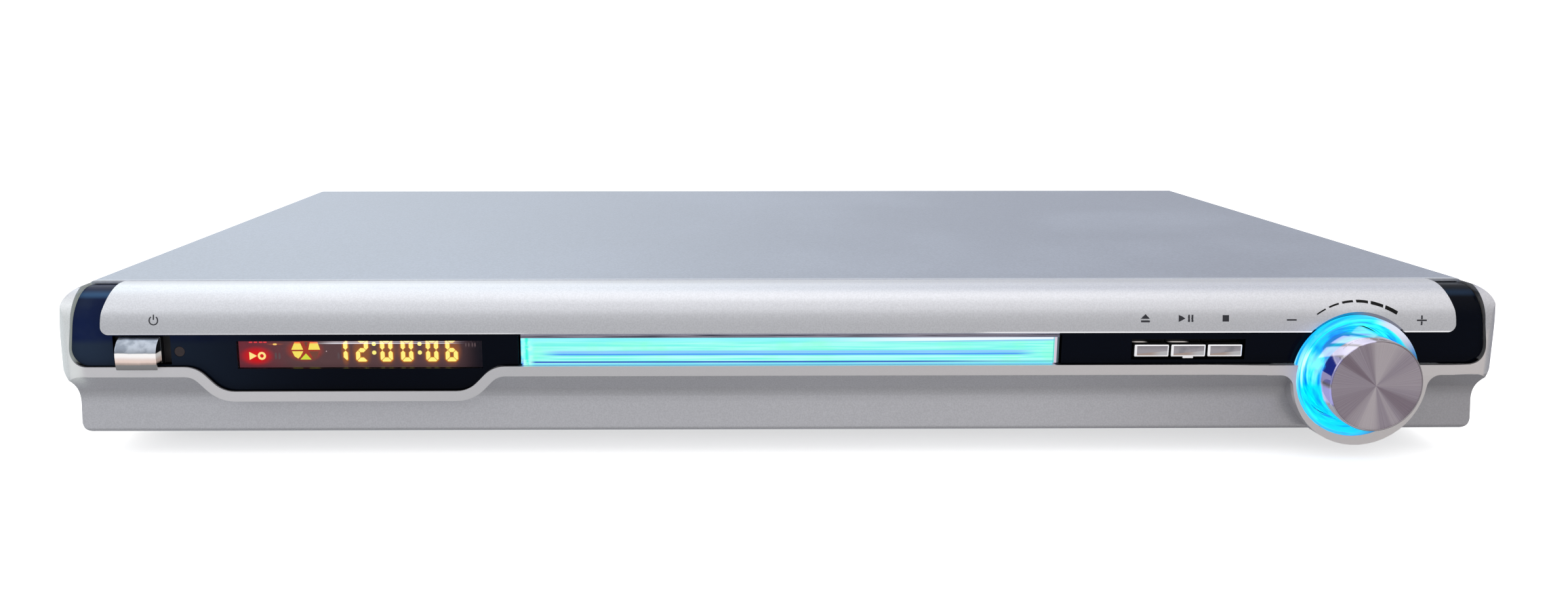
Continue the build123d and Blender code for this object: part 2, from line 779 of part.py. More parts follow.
def front_frame():
    """The silver moulding: side rings, the lip round the black face, the concave skirt and the pod."""
    outer = FilletPolyline(
        (FRAME_BACK, FOOT_H),
        (SKIRT_Y, FOOT_H),
        (NECK_Y, NECK_Z),
        (-LIP_PROUD, FACE_Z - LIP_W),
        (-LIP_PROUD, FACE_Z + 0.4),
        (0, FACE_Z + LIP_FADE),
        (0, RING_TOP),
        (FRAME_BACK, RING_TOP),
        radius=[1.2, NECK_R, LIP_ROUND, LIP_ROUND, LIP_FADE_R, NOSE_R - LIP_FADE_R / 4],
    )
    inner = FilletPolyline(
        (FRAME_BACK + 1, FOOT_H + FRAME_WALL),
        (SKIRT_Y + FRAME_WALL, FOOT_H + FRAME_WALL),
        (NECK_Y + FRAME_WALL, NECK_Z),
        (FRAME_WALL, FACE_Z - LIP_W),
        (FRAME_WALL, RING_TOP - FRAME_WALL),
        (FRAME_BACK + 1, RING_TOP - FRAME_WALL),
        radius=[0.6, NECK_R - FRAME_WALL, 2.0, NOSE_R - FRAME_WALL],
    )
    shape = closed(outer, Line((FRAME_BACK, RING_TOP), (FRAME_BACK, FOOT_H)))
    hollow = closed(inner, Line((FRAME_BACK + 1, RING_TOP - FRAME_WALL), (FRAME_BACK + 1, FOOT_H + FRAME_WALL)))
    wide = (-RING_HALF - 5, RING_HALF + 5)
    body = side_prism(shape, wide) & front_prism(silhouette(), (-LIP_PROUD - 1, FRAME_BACK))
    body -= side_prism(hollow, wide) & front_prism(offset(silhouette(), -FRAME_WALL), (0, FRAME_BACK + 2))
    lip = front_prism(face_outline(LIP_W, RING_TOP), (-LIP_PROUD, NECK_Y + FRAME_WALL))
    lip -= block(wide, (-LIP_PROUD - 1, FRAME_BACK), (FACE_Z + 0.4, RING_TOP + 1))
    pod = front_prism(pod_outline(), (-POD_PROUD, POD_BACK))
    plan = flat_prism(ring_plan(), (0, RING_TOP + 1))
    body = (body & plan) + (lip & plan) + pod
    body -= front_prism(face_outline(0, RING_TOP + 5), (-LIP_PROUD - 2, FRAME_BACK + 2))
    body -= rod_y(RING_LIGHT_R + FIT, KNOB_X, (-POD_PROUD - 1, POD_BACK), KNOB_Z)
    for side in (-1, 1):
        x = sorted((side * (CASE_HALF - FRAME_REAR_WALL_W), side * (RING_HALF + 1)))
        wall = block(x, (FRAME_BACK - FRAME_WALL, FRAME_BACK), (FOOT_H, RING_TOP))
        body += wall & front_prism(silhouette(), (0, FRAME_BACK))
    cover_half = CASE_HALF + VISOR_GAP
    cover_low = CASE_TOP - 2 * COVER_BEND - GAP
    body -= block((-cover_half, cover_half), (COVER_FRONT - VISOR_GAP, FRAME_BACK + 1), (cover_low, CASE_TOP + 1))
    for x, z in frame_post_places():
        post = rod_y(FRAME_POST_R, x, (NECK_Y + 1, FRONT_BOARD_Y), z)
        body += post - rod_y(FRAME_POST_BORE_R, x, (FRONT_BOARD_Y - FRAME_POST_BORE_D, FRONT_BOARD_Y), z)
    return body


def frame_post_places():
    """Posts on the skirt's inside wall that carry the two front boards."""
    z = FRONT_BOARD_Z + FRAME_POST_R
    left = (DISPLAY_BOARD_LEFT + 2 * FRAME_POST_R, DISPLAY_BOARD_RIGHT - 2 * FRAME_POST_R)
    right = (CONTROL_BOARD_LEFT + 2 * FRAME_POST_R, CONTROL_BOARD_RIGHT - 2 * FRAME_POST_R)
    return [(x, z) for x in left + right]


def black_fascia():
    """The gloss black face, with holes for the display, buttons, tray door and knob."""
    low = FACE_Z - BULGE_DROP - 1
    plate = curved_sheet(FACE_SET_BACK, FACE_PLATE, low)
    plate &= front_prism(face_outline(-FIT, RING_TOP + 1), (-5, COVER_FRONT))
    through = (-1, FACE_BACK + 1)
    plate -= rod_y(RING_LIGHT_R + FIT, KNOB_X, (-1, COVER_FRONT), KNOB_Z)
    plate -= block(centred(TRAY_X, DOOR_W / 2 + DOOR_SLOT_GAP), through, (FACE_Z - 1, DOOR_Z + DOOR_H + DOOR_SLOT_LIFT))
    plate -= block(centred(WINDOW_X, WINDOW_W / 2 + FIT), through, centred(WINDOW_Z, WINDOW_H / 2 + FIT))
    plate -= block(centred(KEY_X, KEY_HOLE_W / 2), through, centred(KEY_Z + 0.3, KEY_HOLE_H / 2))
    plate -= block(power_hole_x(), through, centred(POWER_Z, POWER_HOLE_H / 2))
    plate -= rod_y(EYE_R + FIT, EYE_X, through, EYE_Z)
    left = (DISPLAY_BOARD_LEFT + FACE_POST_INSET, DISPLAY_BOARD_RIGHT - FACE_POST_INSET)
    right = (CONTROL_BOARD_LEFT + KEY_POST_INSET, KNOB_X - POD_R - FACE_POST_INSET)
    for x in left + right:
        plate += rod_y(FACE_POST_R, x, (FACE_BACK - 0.5, FRONT_BOARD_Y), FACE_POST_Z)
    return plate


def visor():
    """The silver upper visor, cut round the knob."""
    top = RING_TOP + 5
    right = FilletPolyline(
        (0, VISOR_Z),
        (VISOR_HALF, VISOR_Z),
        (VISOR_HALF - VISOR_BEND_IN, VISOR_BEND_Z),
        (VISOR_HALF - VISOR_TOP_IN, top),
        (0, top),
        radius=[VISOR_CORNER_R, VISOR_BEND_R, 1],
    )
    outline = closed(right, Line((0, top), (0, VISOR_Z)))
    outline += mirror(outline, Plane.YZ)
    outline -= Pos(KNOB_X, KNOB_Z) * Circle(VISOR_KNOB_CUT_R)
    return curved_sheet(0, VISOR_PLATE, VISOR_Z - 1) & front_prism(outline, (-5, COVER_FRONT))


def display_window():
    y = (FACE_SET_BACK + FIT, FACE_SET_BACK + FIT + WINDOW_T)
    return block(centred(WINDOW_X, WINDOW_W / 2), y, centred(WINDOW_Z, WINDOW_H / 2))


def vfd_display():
    """The glass display tube with its pinch-off stub, held on the board by side clips."""
    y = (FRONT_BOARD_Y - VFD_T, FRONT_BOARD_Y)
    tube = block(centred(WINDOW_X, VFD_W / 2), y, centred(VFD_Z, VFD_H / 2))
    tube = chamfer(tube.faces().sort_by(Axis.Y)[0].edges(), 0.8)
    stub = rod_x(1.5, (WINDOW_X + VFD_W / 2, WINDOW_X + VFD_W / 2 + 3), y[1] - 3, VFD_Z)
    return tube + stub


def ir_receiver():
    """The remote eye: a lens plug in the face and the sensor block behind it on the board."""
    plug = rod_y(EYE_R, EYE_X, (FACE_SET_BACK + FIT, FRONT_BOARD_Y - EYE_BODY_D), EYE_Z)
    body = block(centred(EYE_X, EYE_BODY_W / 2), (FRONT_BOARD_Y - EYE_BODY_D, FRONT_BOARD_Y), centred(EYE_Z, EYE_BODY_H / 2))
    return plug + body


def front_board(left, right):
    board = block((left, right), (FRONT_BOARD_Y, FRONT_BOARD_Y + BOARD_T), (FRONT_BOARD_Z, FRONT_BOARD_Z + FRONT_BOARD_H))
    for x, z in frame_post_places():
        if left < x < right:
            board -= rod_y(FRAME_POST_BORE_R, x, (FRONT_BOARD_Y - 1, FRONT_BOARD_Y + BOARD_T + 1), z)
    return board


def key_places():
    return {
        "open_close_button": KEY_X - KEY_PITCH,
        "play_pause_button": KEY_X,
        "stop_button": KEY_X + KEY_PITCH,
    }


def key_button(x, nub):
    """One chrome key: a face in the slot, a flange behind the face and a stem to its switch."""
    front = FACE_SET_BACK - KEY_PROUD
    flange_y = FACE_BACK + GAP
    key = block(centred(x, KEY_W / 2), (front, flange_y + KEY_FLANGE_T), centred(KEY_Z, KEY_H / 2))
    key = chamfer(key.faces().sort_by(Axis.Y)[0].edges(), 0.4)
    key += block(
        centred(x, KEY_W / 2), (flange_y, flange_y + KEY_FLANGE_T), centred(KEY_Z + 0.3, KEY_HOLE_H / 2 + KEY_FLANGE_H)
    )
    key += block(
        centred(x, KEY_STEM / 2), (flange_y, SWITCH_FRONT - KEY_TRAVEL - FIT), centred(KEY_Z, KEY_H / 2)
    )
    if nub:
        low = KEY_Z - KEY_H / 2 - KEY_NUB_H
        key += block(centred(x, KEY_NUB_W / 2), (front + 0.4, flange_y), (low, KEY_Z))
    return key


def power_hole_x():
    """The power button's hole, wider on the right where a dark gap shows."""
    return (POWER_X - POWER_W / 2 - POWER_HOLE_LEFT, POWER_X + POWER_W / 2 + POWER_HOLE_RIGHT)


def power_button():
    """A barrel-faced chrome button whose rear stem reaches its switch."""
    front = FACE_SET_BACK - POWER_BOW
    flange_y = FACE_BACK + PRESS_GAP
    top = POWER_Z + POWER_H / 2
    low = POWER_Z - POWER_H / 2
    nose_z = POWER_Z - POWER_H / 4
    rest_y = -LIP_PROUD - POWER_REST_GAP
    upper = ThreePointArc((FACE_SET_BACK, top), (front + POWER_BOW * 0.2, top - POWER_H * 0.28), (front, nose_z))
    lower = ThreePointArc((front, nose_z), (front + 0.1, (nose_z + low - POWER_LOW) / 2), (front + 0.4, low - POWER_LOW))
    back = Polyline(
        (front + 0.4, low - POWER_LOW),
        (rest_y, low - POWER_LOW),
        (rest_y, low),
        (flange_y, low),
        (flange_y, top),
        (FACE_SET_BACK, top),
    )
    button = side_prism(closed(upper, lower, back), centred(POWER_X, POWER_W / 2))
    left, right = power_hole_x()
    button += block(
        (left - POWER_FLANGE_LEFT, right + POWER_FLANGE_RIGHT),
        (flange_y, flange_y + KEY_FLANGE_T),
        centred(POWER_Z, POWER_HOLE_H / 2),
    )
    stem = (flange_y, SWITCH_FRONT - POWER_TRAVEL - FIT)
    return button + block(centred(POWER_X, KEY_STEM / 2), stem, centred(POWER_Z, KEY_STEM / 2))


def tact_switches():
    """The small push switches on the boards, one behind each button."""
    places = [(x, KEY_Z) for x in key_places().values()] + [(POWER_X, POWER_Z)]
    switches = []
    for x, z in places:
        half = SWITCH_SIZE / 2
        body = block(centred(x, half), (FRONT_BOARD_Y - SWITCH_BODY, FRONT_BOARD_Y), centred(z, half))
        plunger = rod_y(SWITCH_PLUNGER_R, x, (SWITCH_FRONT, FRONT_BOARD_Y - SWITCH_BODY), z)
        switches.append(body + plunger)
    return switches


def knob_light_ring():
    """The clear cone-mouthed ring that the LEDs light from behind."""
    outline = [
        (RING_LIGHT_MOUTH_R, -POD_PROUD + FIT),
        (RING_LIGHT_R, -POD_PROUD + FIT),
        (RING_LIGHT_R, RING_LIGHT_BACK),
        (RING_LIGHT_BORE_R, RING_LIGHT_BACK),
        (RING_LIGHT_BORE_R, RING_LIGHT_SLOPE - POD_PROUD),
    ]
    return turned_y(outline, KNOB_X, KNOB_Z)


def ring_led_board():
    """The round board pressed into the pod's bore, with its LEDs behind the clear ring."""
    y = (POD_BACK - LED_RING_T, POD_BACK)
    board = rod_y(RING_LIGHT_R, KNOB_X, y, KNOB_Z) - rod_y(BUSH_R + 4, KNOB_X, (y[0] - 1, y[1] + 1), KNOB_Z)
    middle = (RING_LIGHT_R + RING_LIGHT_BORE_R) / 2
    for index in range(LED_COUNT):
        angle = 2 * pi * (index + 0.5) / LED_COUNT
        x = KNOB_X + middle * cos(angle)
        z = KNOB_Z + middle * sin(angle)
        board += block(centred(x, LED_SIZE / 2), (RING_LIGHT_BACK + GAP, y[0]), centred(z, LED_SIZE / 2))
    return board


def volume_knob():
    """The hollow chrome knob with its hub, a face recess and a small front chamfer."""
    front = -KNOB_PROUD
    outline = [
        (0, front + KNOB_FACE_T),
        (KNOB_FACE_R + FIT, front + KNOB_FACE_T),
        (KNOB_FACE_R + FIT, front),
        (KNOB_R - KNOB_CHAMFER, front),
        (KNOB_R, front + KNOB_CHAMFER),
        (KNOB_BACK_R, KNOB_BACK),
        (KNOB_BACK_R - KNOB_WALL, KNOB_BACK),
        (KNOB_R - KNOB_WALL, front + KNOB_FACE_T + KNOB_WALL),
        (KNOB_HUB_R, front + KNOB_FACE_T + KNOB_WALL),
        (KNOB_HUB_R, KNOB_BACK - 2),
        (0, KNOB_BACK - 2),
    ]
    knob = turned_y(outline, KNOB_X, KNOB_Z)
    return knob - shaft_shape(FIT, (SHAFT_FRONT - FIT, KNOB_BACK))


def shaft_shape(grow, y):
    flat = SHAFT_R - SHAFT_FLAT + grow
    full = Circle(SHAFT_R + grow) & Pos(0, -SHAFT_R + flat / 2) * Rectangle(4 * SHAFT_R, 2 * SHAFT_R + flat)
    return front_prism(Pos(KNOB_X, KNOB_Z) * full, y)


def knob_face():
    """The spun metal cap, slightly dished, glued in the knob's face recess."""
    front = -KNOB_PROUD
    outline = [
        (0, front + 0.35),
        (KNOB_FACE_R - 0.4, front),
        (KNOB_FACE_R, front + 0.2),
        (KNOB_FACE_R, front + KNOB_FACE_T),
        (0, front + KNOB_FACE_T),
    ]
    return turned_y(outline, KNOB_X, KNOB_Z)


def encoder_shaft():
    shaft = shaft_shape(0, (SHAFT_FRONT, KNOB_BACK + 1))
    return shaft + rod_y(SHAFT_R, KNOB_X, (KNOB_BACK + 1, FRONT_BOARD_Y - 1), KNOB_Z)


def volume_encoder():
    """The turning encoder: a square can and a bush that carries the shaft."""
    half = ENCODER_SIZE / 2
    can = block(centred(KNOB_X, half), (FRONT_BOARD_Y - ENCODER_DEPTH, FRONT_BOARD_Y), centred(KNOB_Z, half))
    bush = rod_y(BUSH_R, KNOB_X, (FRONT_BOARD_Y - ENCODER_DEPTH - BUSH_L, FRONT_BOARD_Y - ENCODER_DEPTH), KNOB_Z)
    bore = (0, FRONT_BOARD_Y - 1 + GAP)
    return can + bush - rod_y(SHAFT_R + GEAR_AXLE_FIT, KNOB_X, bore, KNOB_Z)


# Tray


def rack_teeth():
    """Rack teeth that face +X along the tray's left underside, one at the pinion's middle."""
    pitch = pi * RACK_MODULE
    root = RACK_X - 1.25 * RACK_MODULE
    tip = RACK_X + RACK_MODULE - TIP_GAP
    lean = tan(radians(PRESSURE_ANGLE))
    teeth = []
    for index in range(-RACK_FRONT_TEETH, RACK_REAR_TEETH):
        y = GEAR_Y + index * pitch
        half = pitch / 4 - BACKLASH / 2
        wide = half + (RACK_X - root) * lean
        slim = half - (tip - RACK_X) * lean
        teeth += [(root, y - wide), (tip, y - slim), (tip, y + slim), (root, y + wide)]
    back = root - RACK_BACK
    ends = (teeth[0][1], teeth[-1][1])
    outline = Polyline((back, ends[0]), *teeth, (back, ends[1]), close=True)
    return flat_prism(make_face(outline), (TRAY_Z, TRAY_FLOOR_Z))


def disc_tray():
    """The sliding tray: a rim, a stepped disc recess, a pickup slot open to the rear, rails and the rack."""
    y = (TRAY_FRONT, TRAY_REAR)
    body = block(centred(TRAY_X, TRAY_HALF), y, (TRAY_FLOOR_Z, TRAY_TOP))
    body += block(centred(TRAY_X, TRAY_HALF + TRAY_RAIL), (LOADER_Y + 2, TRAY_REAR), (RAIL_Z, RAIL_Z + TRAY_RAIL_H))
    front_wall = block(centred(TRAY_X, TRAY_HALF), (TRAY_FRONT, TRAY_FRONT + 3), (TRAY_Z, TRAY_TOP))
    floor_top = TRAY_FLOOR_Z + TRAY_FLOOR_T
    body = body + front_wall + rack_teeth()
    body -= rod_z(DISC_RECESS_R, TRAY_X, DISC_Y, (floor_top, TRAY_TOP + 1))
    body -= rod_z(SMALL_DISC_R, TRAY_X, DISC_Y, (floor_top - SMALL_RECESS, TRAY_TOP + 1))
    rear_y = DISC_Y + DISC_RECESS_R + 6
    body -= block(centred(TRAY_X, TRAY_HALF - TRAY_REAR_RIM), (rear_y, TRAY_REAR + 1), (floor_top, TRAY_TOP + 1))
    body -= block(centred(TRAY_X, TRAY_SLOT_HALF), (DISC_Y, TRAY_REAR + 1), (TRAY_Z - 1, TRAY_TOP + 1))
    body -= rod_z(TRAY_HUB_HOLE_R, TRAY_X, DISC_Y, (TRAY_Z - 1, TRAY_TOP + 1))
    for side in (-1, 1):
        x = TRAY_X + side * (DISC_RECESS_R + 2)
        body -= rod_z(FINGER_NOTCH_R, x, DISC_Y, (floor_top, TRAY_TOP + 1))
    return body


def tray_door():
    """The clear door bar on the tray's front, hollow behind for the light bar."""
    y = (DOOR_FRONT, DOOR_FRONT + DOOR_T)
    door = block(centred(TRAY_X, DOOR_W / 2), y, (DOOR_Z, DOOR_Z + DOOR_H))
    door = chamfer(door.faces().sort_by(Axis.Y)[0].edges(), 0.6)
    pocket = (DOOR_FRONT + DOOR_T - LIGHT_BAR_T - FIT, DOOR_FRONT + DOOR_T + 1)
    middle = DOOR_Z + DOOR_H / 2
    return door - block(centred(TRAY_X, LIGHT_BAR_W / 2 + FIT), pocket, centred(middle, LIGHT_BAR_H / 2 + FIT))


def door_light_bar():
    y = (DOOR_FRONT + DOOR_T - LIGHT_BAR_T, DOOR_FRONT + DOOR_T)
    return block(centred(TRAY_X, LIGHT_BAR_W / 2), y, centred(DOOR_Z + DOOR_H / 2, LIGHT_BAR_H / 2))


# Tray drive


def involute_angle(radius, base):
    alpha = acos(min(1, base / radius))
    return tan(alpha) - alpha


def gear_outline(module, teeth, first_angle):
    """An involute gear outline with thinned teeth, one tooth centred on the first angle in degrees."""
    pitch_r = module * teeth / 2
    base = pitch_r * cos(radians(PRESSURE_ANGLE))
    root = pitch_r - 1.25 * module
    tip = pitch_r + module - TIP_GAP
    half = pi / (2 * teeth) - BACKLASH / (2 * pitch_r) + involute_angle(pitch_r, base)
    start = max(base, root)
    flank = [start + (tip - start) * step / 3 for step in range(4)]
    points = []
    for index in range(teeth):
        middle = radians(first_angle) + 2 * pi * index / teeth
        rising = [(root, -half)] if root < base else []
        rising += [(radius, -half + involute_angle(radius, base)) for radius in flank]
        falling = [(radius, -angle) for radius, angle in reversed(rising)]
        points += [(radius * cos(middle + a), radius * sin(middle + a)) for radius, a in rising + falling]
    return make_face(Polyline(*points, close=True))


def tray_drive_gear():
    """The large wheel driven by the idler, with the small pinion that drives the tray's rack."""
    pinion = gear_outline(RACK_MODULE, PINION_TEETH, 180 + 180 / PINION_TEETH)
    wheel = gear_outline(WHEEL_MODULE, WHEEL_TEETH, 0)
    gear = flat_prism(wheel, (WHEEL_Z, WHEEL_Z + WHEEL_T))
    gear += rod_z(PINION_R - 1.5 * RACK_MODULE, 0, 0, (WHEEL_Z, PINION_Z + PINION_L))
    gear += flat_prism(pinion, (PINION_Z, PINION_Z + PINION_L))
    gear -= rod_z(GEAR_AXLE_R + GEAR_AXLE_FIT, 0, 0, (WHEEL_Z - 1, TRAY_FLOOR_Z))
    return Pos(DRIVE_X, GEAR_Y, 0) * gear


def pulley(radius, width):
    """A belt pulley about the origin: a groove between two rims, standing on Z 0."""
    rim = radius + PULLEY_RIM
    outline = [(0, 0), (rim, 0), (rim, PULLEY_RIM / 2), (radius, PULLEY_RIM), (radius, width - PULLEY_RIM)]
    outline += [(rim, width - PULLEY_RIM / 2), (rim, width), (0, width)]
    return revolve(Plane.XZ * make_face(Polyline(*outline, close=True)), Axis.Z)


def pulley_gear():
    """The idler: a belt pulley with the small gear that drives the wheel."""
    teeth = gear_outline(WHEEL_MODULE, IDLER_TEETH, 180 + 180 / IDLER_TEETH)
    top = WHEEL_Z + WHEEL_T + GAP
    gear = Pos(0, 0, PULLEY_Z) * pulley(PULLEY_R, PULLEY_T)
    gear += flat_prism(teeth, (PULLEY_Z + PULLEY_T, top))
    gear -= rod_z(GEAR_AXLE_R + GEAR_AXLE_FIT, 0, 0, (PULLEY_Z - 1, top + 1))
    return Pos(IDLER_X, GEAR_Y, 0) * gear


def motor_pulley():
    small = Pos(0, 0, PULLEY_Z) * pulley(MOTOR_PULLEY_R, PULLEY_T)
    shaft = rod_z(MOTOR_SHAFT_R, 0, 0, (PULLEY_Z + PULLEY_T, PULLEY_Z + PULLEY_T + 2))
    return Pos(MOTOR_X, GEAR_Y, 0) * (small + shaft)


def drive_belt():
    """The square rubber belt that runs tangent to both pulleys."""
    middle = PULLEY_Z + PULLEY_T / 2
    z = (middle - BELT_W / 2, middle + BELT_W / 2)
    outside = belt_loop(GAP + BELT_W)
    inside = belt_loop(GAP)
    return flat_prism(outside - inside, (z[0] + 0.1, z[1] - 0.1))


def belt_loop(grow):
    """The convex outline round both pulley grooves, grown by a margin."""
    big = PULLEY_R + grow
    small = MOTOR_PULLEY_R + grow
    turn = asin((big - small) / MOTOR_GAP_X)
    points = [
        (IDLER_X + big * sin(turn), GEAR_Y + big * cos(turn)),
        (MOTOR_X + small * sin(turn), GEAR_Y + small * cos(turn)),
        (MOTOR_X + small * sin(turn), GEAR_Y - small * cos(turn)),
        (IDLER_X + big * sin(turn), GEAR_Y - big * cos(turn)),
    ]
    lines = [Line(points[0], points[1]), Line(points[2], points[3])]
    ends = [
        ThreePointArc(points[1], (MOTOR_X + small, GEAR_Y), points[2]),
        ThreePointArc(points[3], (IDLER_X - big, GEAR_Y), points[0]),
    ]
    return closed(lines[0], ends[0], lines[1], ends[1])


def loading_motor():
    """The flat motor over its pulley, hung under the tray in the loader's front."""
    low = PULLEY_Z + PULLEY_T + GAP
    shape = Circle(MOTOR_R) & Rectangle(2 * MOTOR_R, 2 * MOTOR_R - 4)
    can = flat_prism(Pos(MOTOR_X, GEAR_Y) * shape, (low, low + MOTOR_H))
    return can - rod_z(MOTOR_SHAFT_R + GEAR_AXLE_FIT, MOTOR_X, GEAR_Y, (low - 1, PULLEY_Z + PULLEY_T + 2 + FIT))


# Loader frame


def loader_frame():
    """The loader's moulded frame: grooved side walls, floor with the deck's well, axles and ears."""
    groove_low = RAIL_Z - GAP
    groove_high = RAIL_Z + TRAY_RAIL_H + GAP
    wall = Polyline(
        (LOADER_OUT, LOADER_Z),
        (LOADER_OUT, LOADER_TOP),
        (LOADER_HALF, LOADER_TOP),
        (LOADER_HALF, groove_high + 3),
        (LOADER_HALF - GROOVE_DEPTH, groove_high + 3),
        (LOADER_HALF - GROOVE_DEPTH, groove_high),
        (LOADER_HALF, groove_high),
        (LOADER_HALF, groove_low),
        (LOADER_HALF - GROOVE_DEPTH, groove_low),
        (LOADER_HALF - GROOVE_DEPTH, groove_low - 2),
        (LOADER_HALF, groove_low - 4),
        (LOADER_HALF, LOADER_Z),
        close=True,
    )
    right = front_prism(make_face(wall), (LOADER_Y, LOADER_REAR))
    frame = Pos(TRAY_X, 0, 0) * (right + mirror(right, Plane.YZ))
    floor = block(centred(TRAY_X, LOADER_HALF + 1), (LOADER_Y, LOADER_REAR), (LOADER_Z, LOADER_FLOOR_TOP))
    floor -= block(centred(TRAY_X, WELL_HALF), (WELL_FRONT, WELL_REAR), (LOADER_Z - 1, LOADER_FLOOR_TOP + 1))
    frame += floor
    xs, ys = loader_ear_places()
    for x in xs:
        for y in ys:
            ear = block(centred(x, LOADER_EAR / 2 + 0.5), centred(y, LOADER_EAR_L / 2), (LOADER_Z, LOADER_FLOOR_TOP))
            frame += ear - rod_z(LOADER_SCREW_R, x, y, (LOADER_Z - 1, LOADER_FLOOR_TOP + 1))
    for x, top in ((DRIVE_X, PINION_Z + PINION_L), (IDLER_X, WHEEL_Z + WHEEL_T + GAP)):
        frame += rod_z(GEAR_AXLE_R, x, GEAR_Y, (LOADER_Z + 0.5, top))
    frame += rod_z(GEAR_AXLE_R + 2, DRIVE_X, GEAR_Y, (LOADER_Z + 0.5, WHEEL_Z - GAP))
    frame += rod_z(GEAR_AXLE_R + 2, IDLER_X, GEAR_Y, (LOADER_Z + 0.5, PULLEY_Z - GAP))
    for side in (-1, 1):
        ear_x = sorted((TRAY_X + side * (DECK_HALF + GAP + 1), TRAY_X + side * (DECK_HALF + GAP + 4)))
        ear = block(ear_x, centred(HINGE_Y, 4), (LOADER_Z, HINGE_Z + 4))
        ear -= rod_x(HINGE_R + HINGE_FIT, (ear_x[0] - 1, ear_x[1] + 1), HINGE_Y, HINGE_Z)
        foot_x = sorted((TRAY_X + side * (DECK_HALF + GAP + 1), TRAY_X + side * (WELL_HALF + 2)))
        frame += ear + block(foot_x, centred(HINGE_Y, 4), (LOADER_Z, LOADER_FLOOR_TOP))
        cradle_x = MOTOR_X + side * (MOTOR_R + GAP + 1)
        frame += block(centred(cradle_x, 1), centred(GEAR_Y, 4), (LOADER_Z, PULLEY_Z + PULLEY_T + 6))
    return frame


def clamp_bridge():
    """The sheet strap over the tray, with a rib on each edge and a round hole for the clamp."""
    bridge = block(centred(TRAY_X, LOADER_OUT), centred(DISC_Y, BRIDGE_W / 2), (BRIDGE_Z, BRIDGE_TOP))
    for side in (-1, 1):
        bridge += block(
            centred(TRAY_X, LOADER_OUT),
            centred(DISC_Y + side * (BRIDGE_W / 2 - 0.5), 0.5),
            (BRIDGE_TOP, BRIDGE_TOP + BRIDGE_RIB),
        )
        seat_x = sorted((TRAY_X + side * LOADER_HALF, TRAY_X + side * LOADER_OUT))
        bridge += block(seat_x, centred(DISC_Y, BRIDGE_W / 2), (LOADER_TOP, BRIDGE_Z))
    return bridge - rod_z(BRIDGE_HOLE_R, TRAY_X, DISC_Y, (BRIDGE_Z - 1, BRIDGE_TOP + 1))


def disc_clamp():
    """The magnetic puck that hangs in the bridge by its flange, over the turntable."""
    flange = BRIDGE_TOP + GAP
    outline = [
        (CLAMP_RECESS_R, CLAMP_BOTTOM),
        (CLAMP_R - 1, CLAMP_BOTTOM),
        (CLAMP_R, CLAMP_BOTTOM + 1),
        (CLAMP_R, flange),
        (CLAMP_FLANGE_R, flange),
        (CLAMP_FLANGE_R, flange + CLAMP_FLANGE_T),
        (CLAMP_CAP_R, flange + CLAMP_FLANGE_T),
        (CLAMP_CAP_R, flange + CLAMP_FLANGE_T + CLAMP_CAP_T),
        (0, flange + CLAMP_FLANGE_T + CLAMP_CAP_T),
        (0, CLAMP_BOTTOM + CLAMP_RECESS),
        (CLAMP_RECESS_R, CLAMP_BOTTOM + CLAMP_RECESS),
    ]
    return turned_z(outline, TRAY_X, DISC_Y)


# Lifting deck


def damper_places():
    xs = (TRAY_X - DECK_HALF + DECK_BAR / 2, TRAY_X + DECK_HALF - DECK_BAR / 2)
    ys = (DECK_FRONT + DECK_BAR / 2 + 2, HINGE_Y - DECK_BAR - 4)
    return [(x, y) for x in xs for y in ys]


def tilt_frame():
    """The moulded frame that tips about its rear pins and is lifted by its front pins."""
    z = (DECK_Z, DECK_Z + DECK_H)
    frame = block(centred(TRAY_X, DECK_HALF), (DECK_FRONT, HINGE_Y + 3), z)
    frame -= block(centred(TRAY_X, DECK_HALF - DECK_BAR), (DECK_FRONT + 3, HINGE_Y - 5), (z[0] - 1, z[1] + 1))
    frame += block(
        centred(TRAY_X, DECK_HALF - 1), (DECK_FRONT, DECK_FRONT + 3), (DECK_Z, DECK_Z + DECK_H)
    )
    for x, y in damper_places():
        frame -= rod_z(DAMPER_R + FIT, x, y, (z[1] - DAMPER_SINK, z[1] + 1))
    for side in (-1, 1):
        pin_x = sorted((TRAY_X + side * (DECK_HALF - 1), TRAY_X + side * (DECK_HALF + GAP + 4)))
        frame += rod_x(HINGE_R, pin_x, HINGE_Y, HINGE_Z)
        cam_x = TRAY_X + side * CAM_PIN_X
        frame += rod_y(CAM_PIN_R, cam_x, (DECK_FRONT - CAM_PIN_L, DECK_FRONT + 1), CAM_PIN_Z)
    return frame


def deck_dampers():
    top = DECK_Z + DECK_H
    return [rod_z(DAMPER_R, x, y, (top - DAMPER_SINK, PLATE_Z)) for x, y in damper_places()]


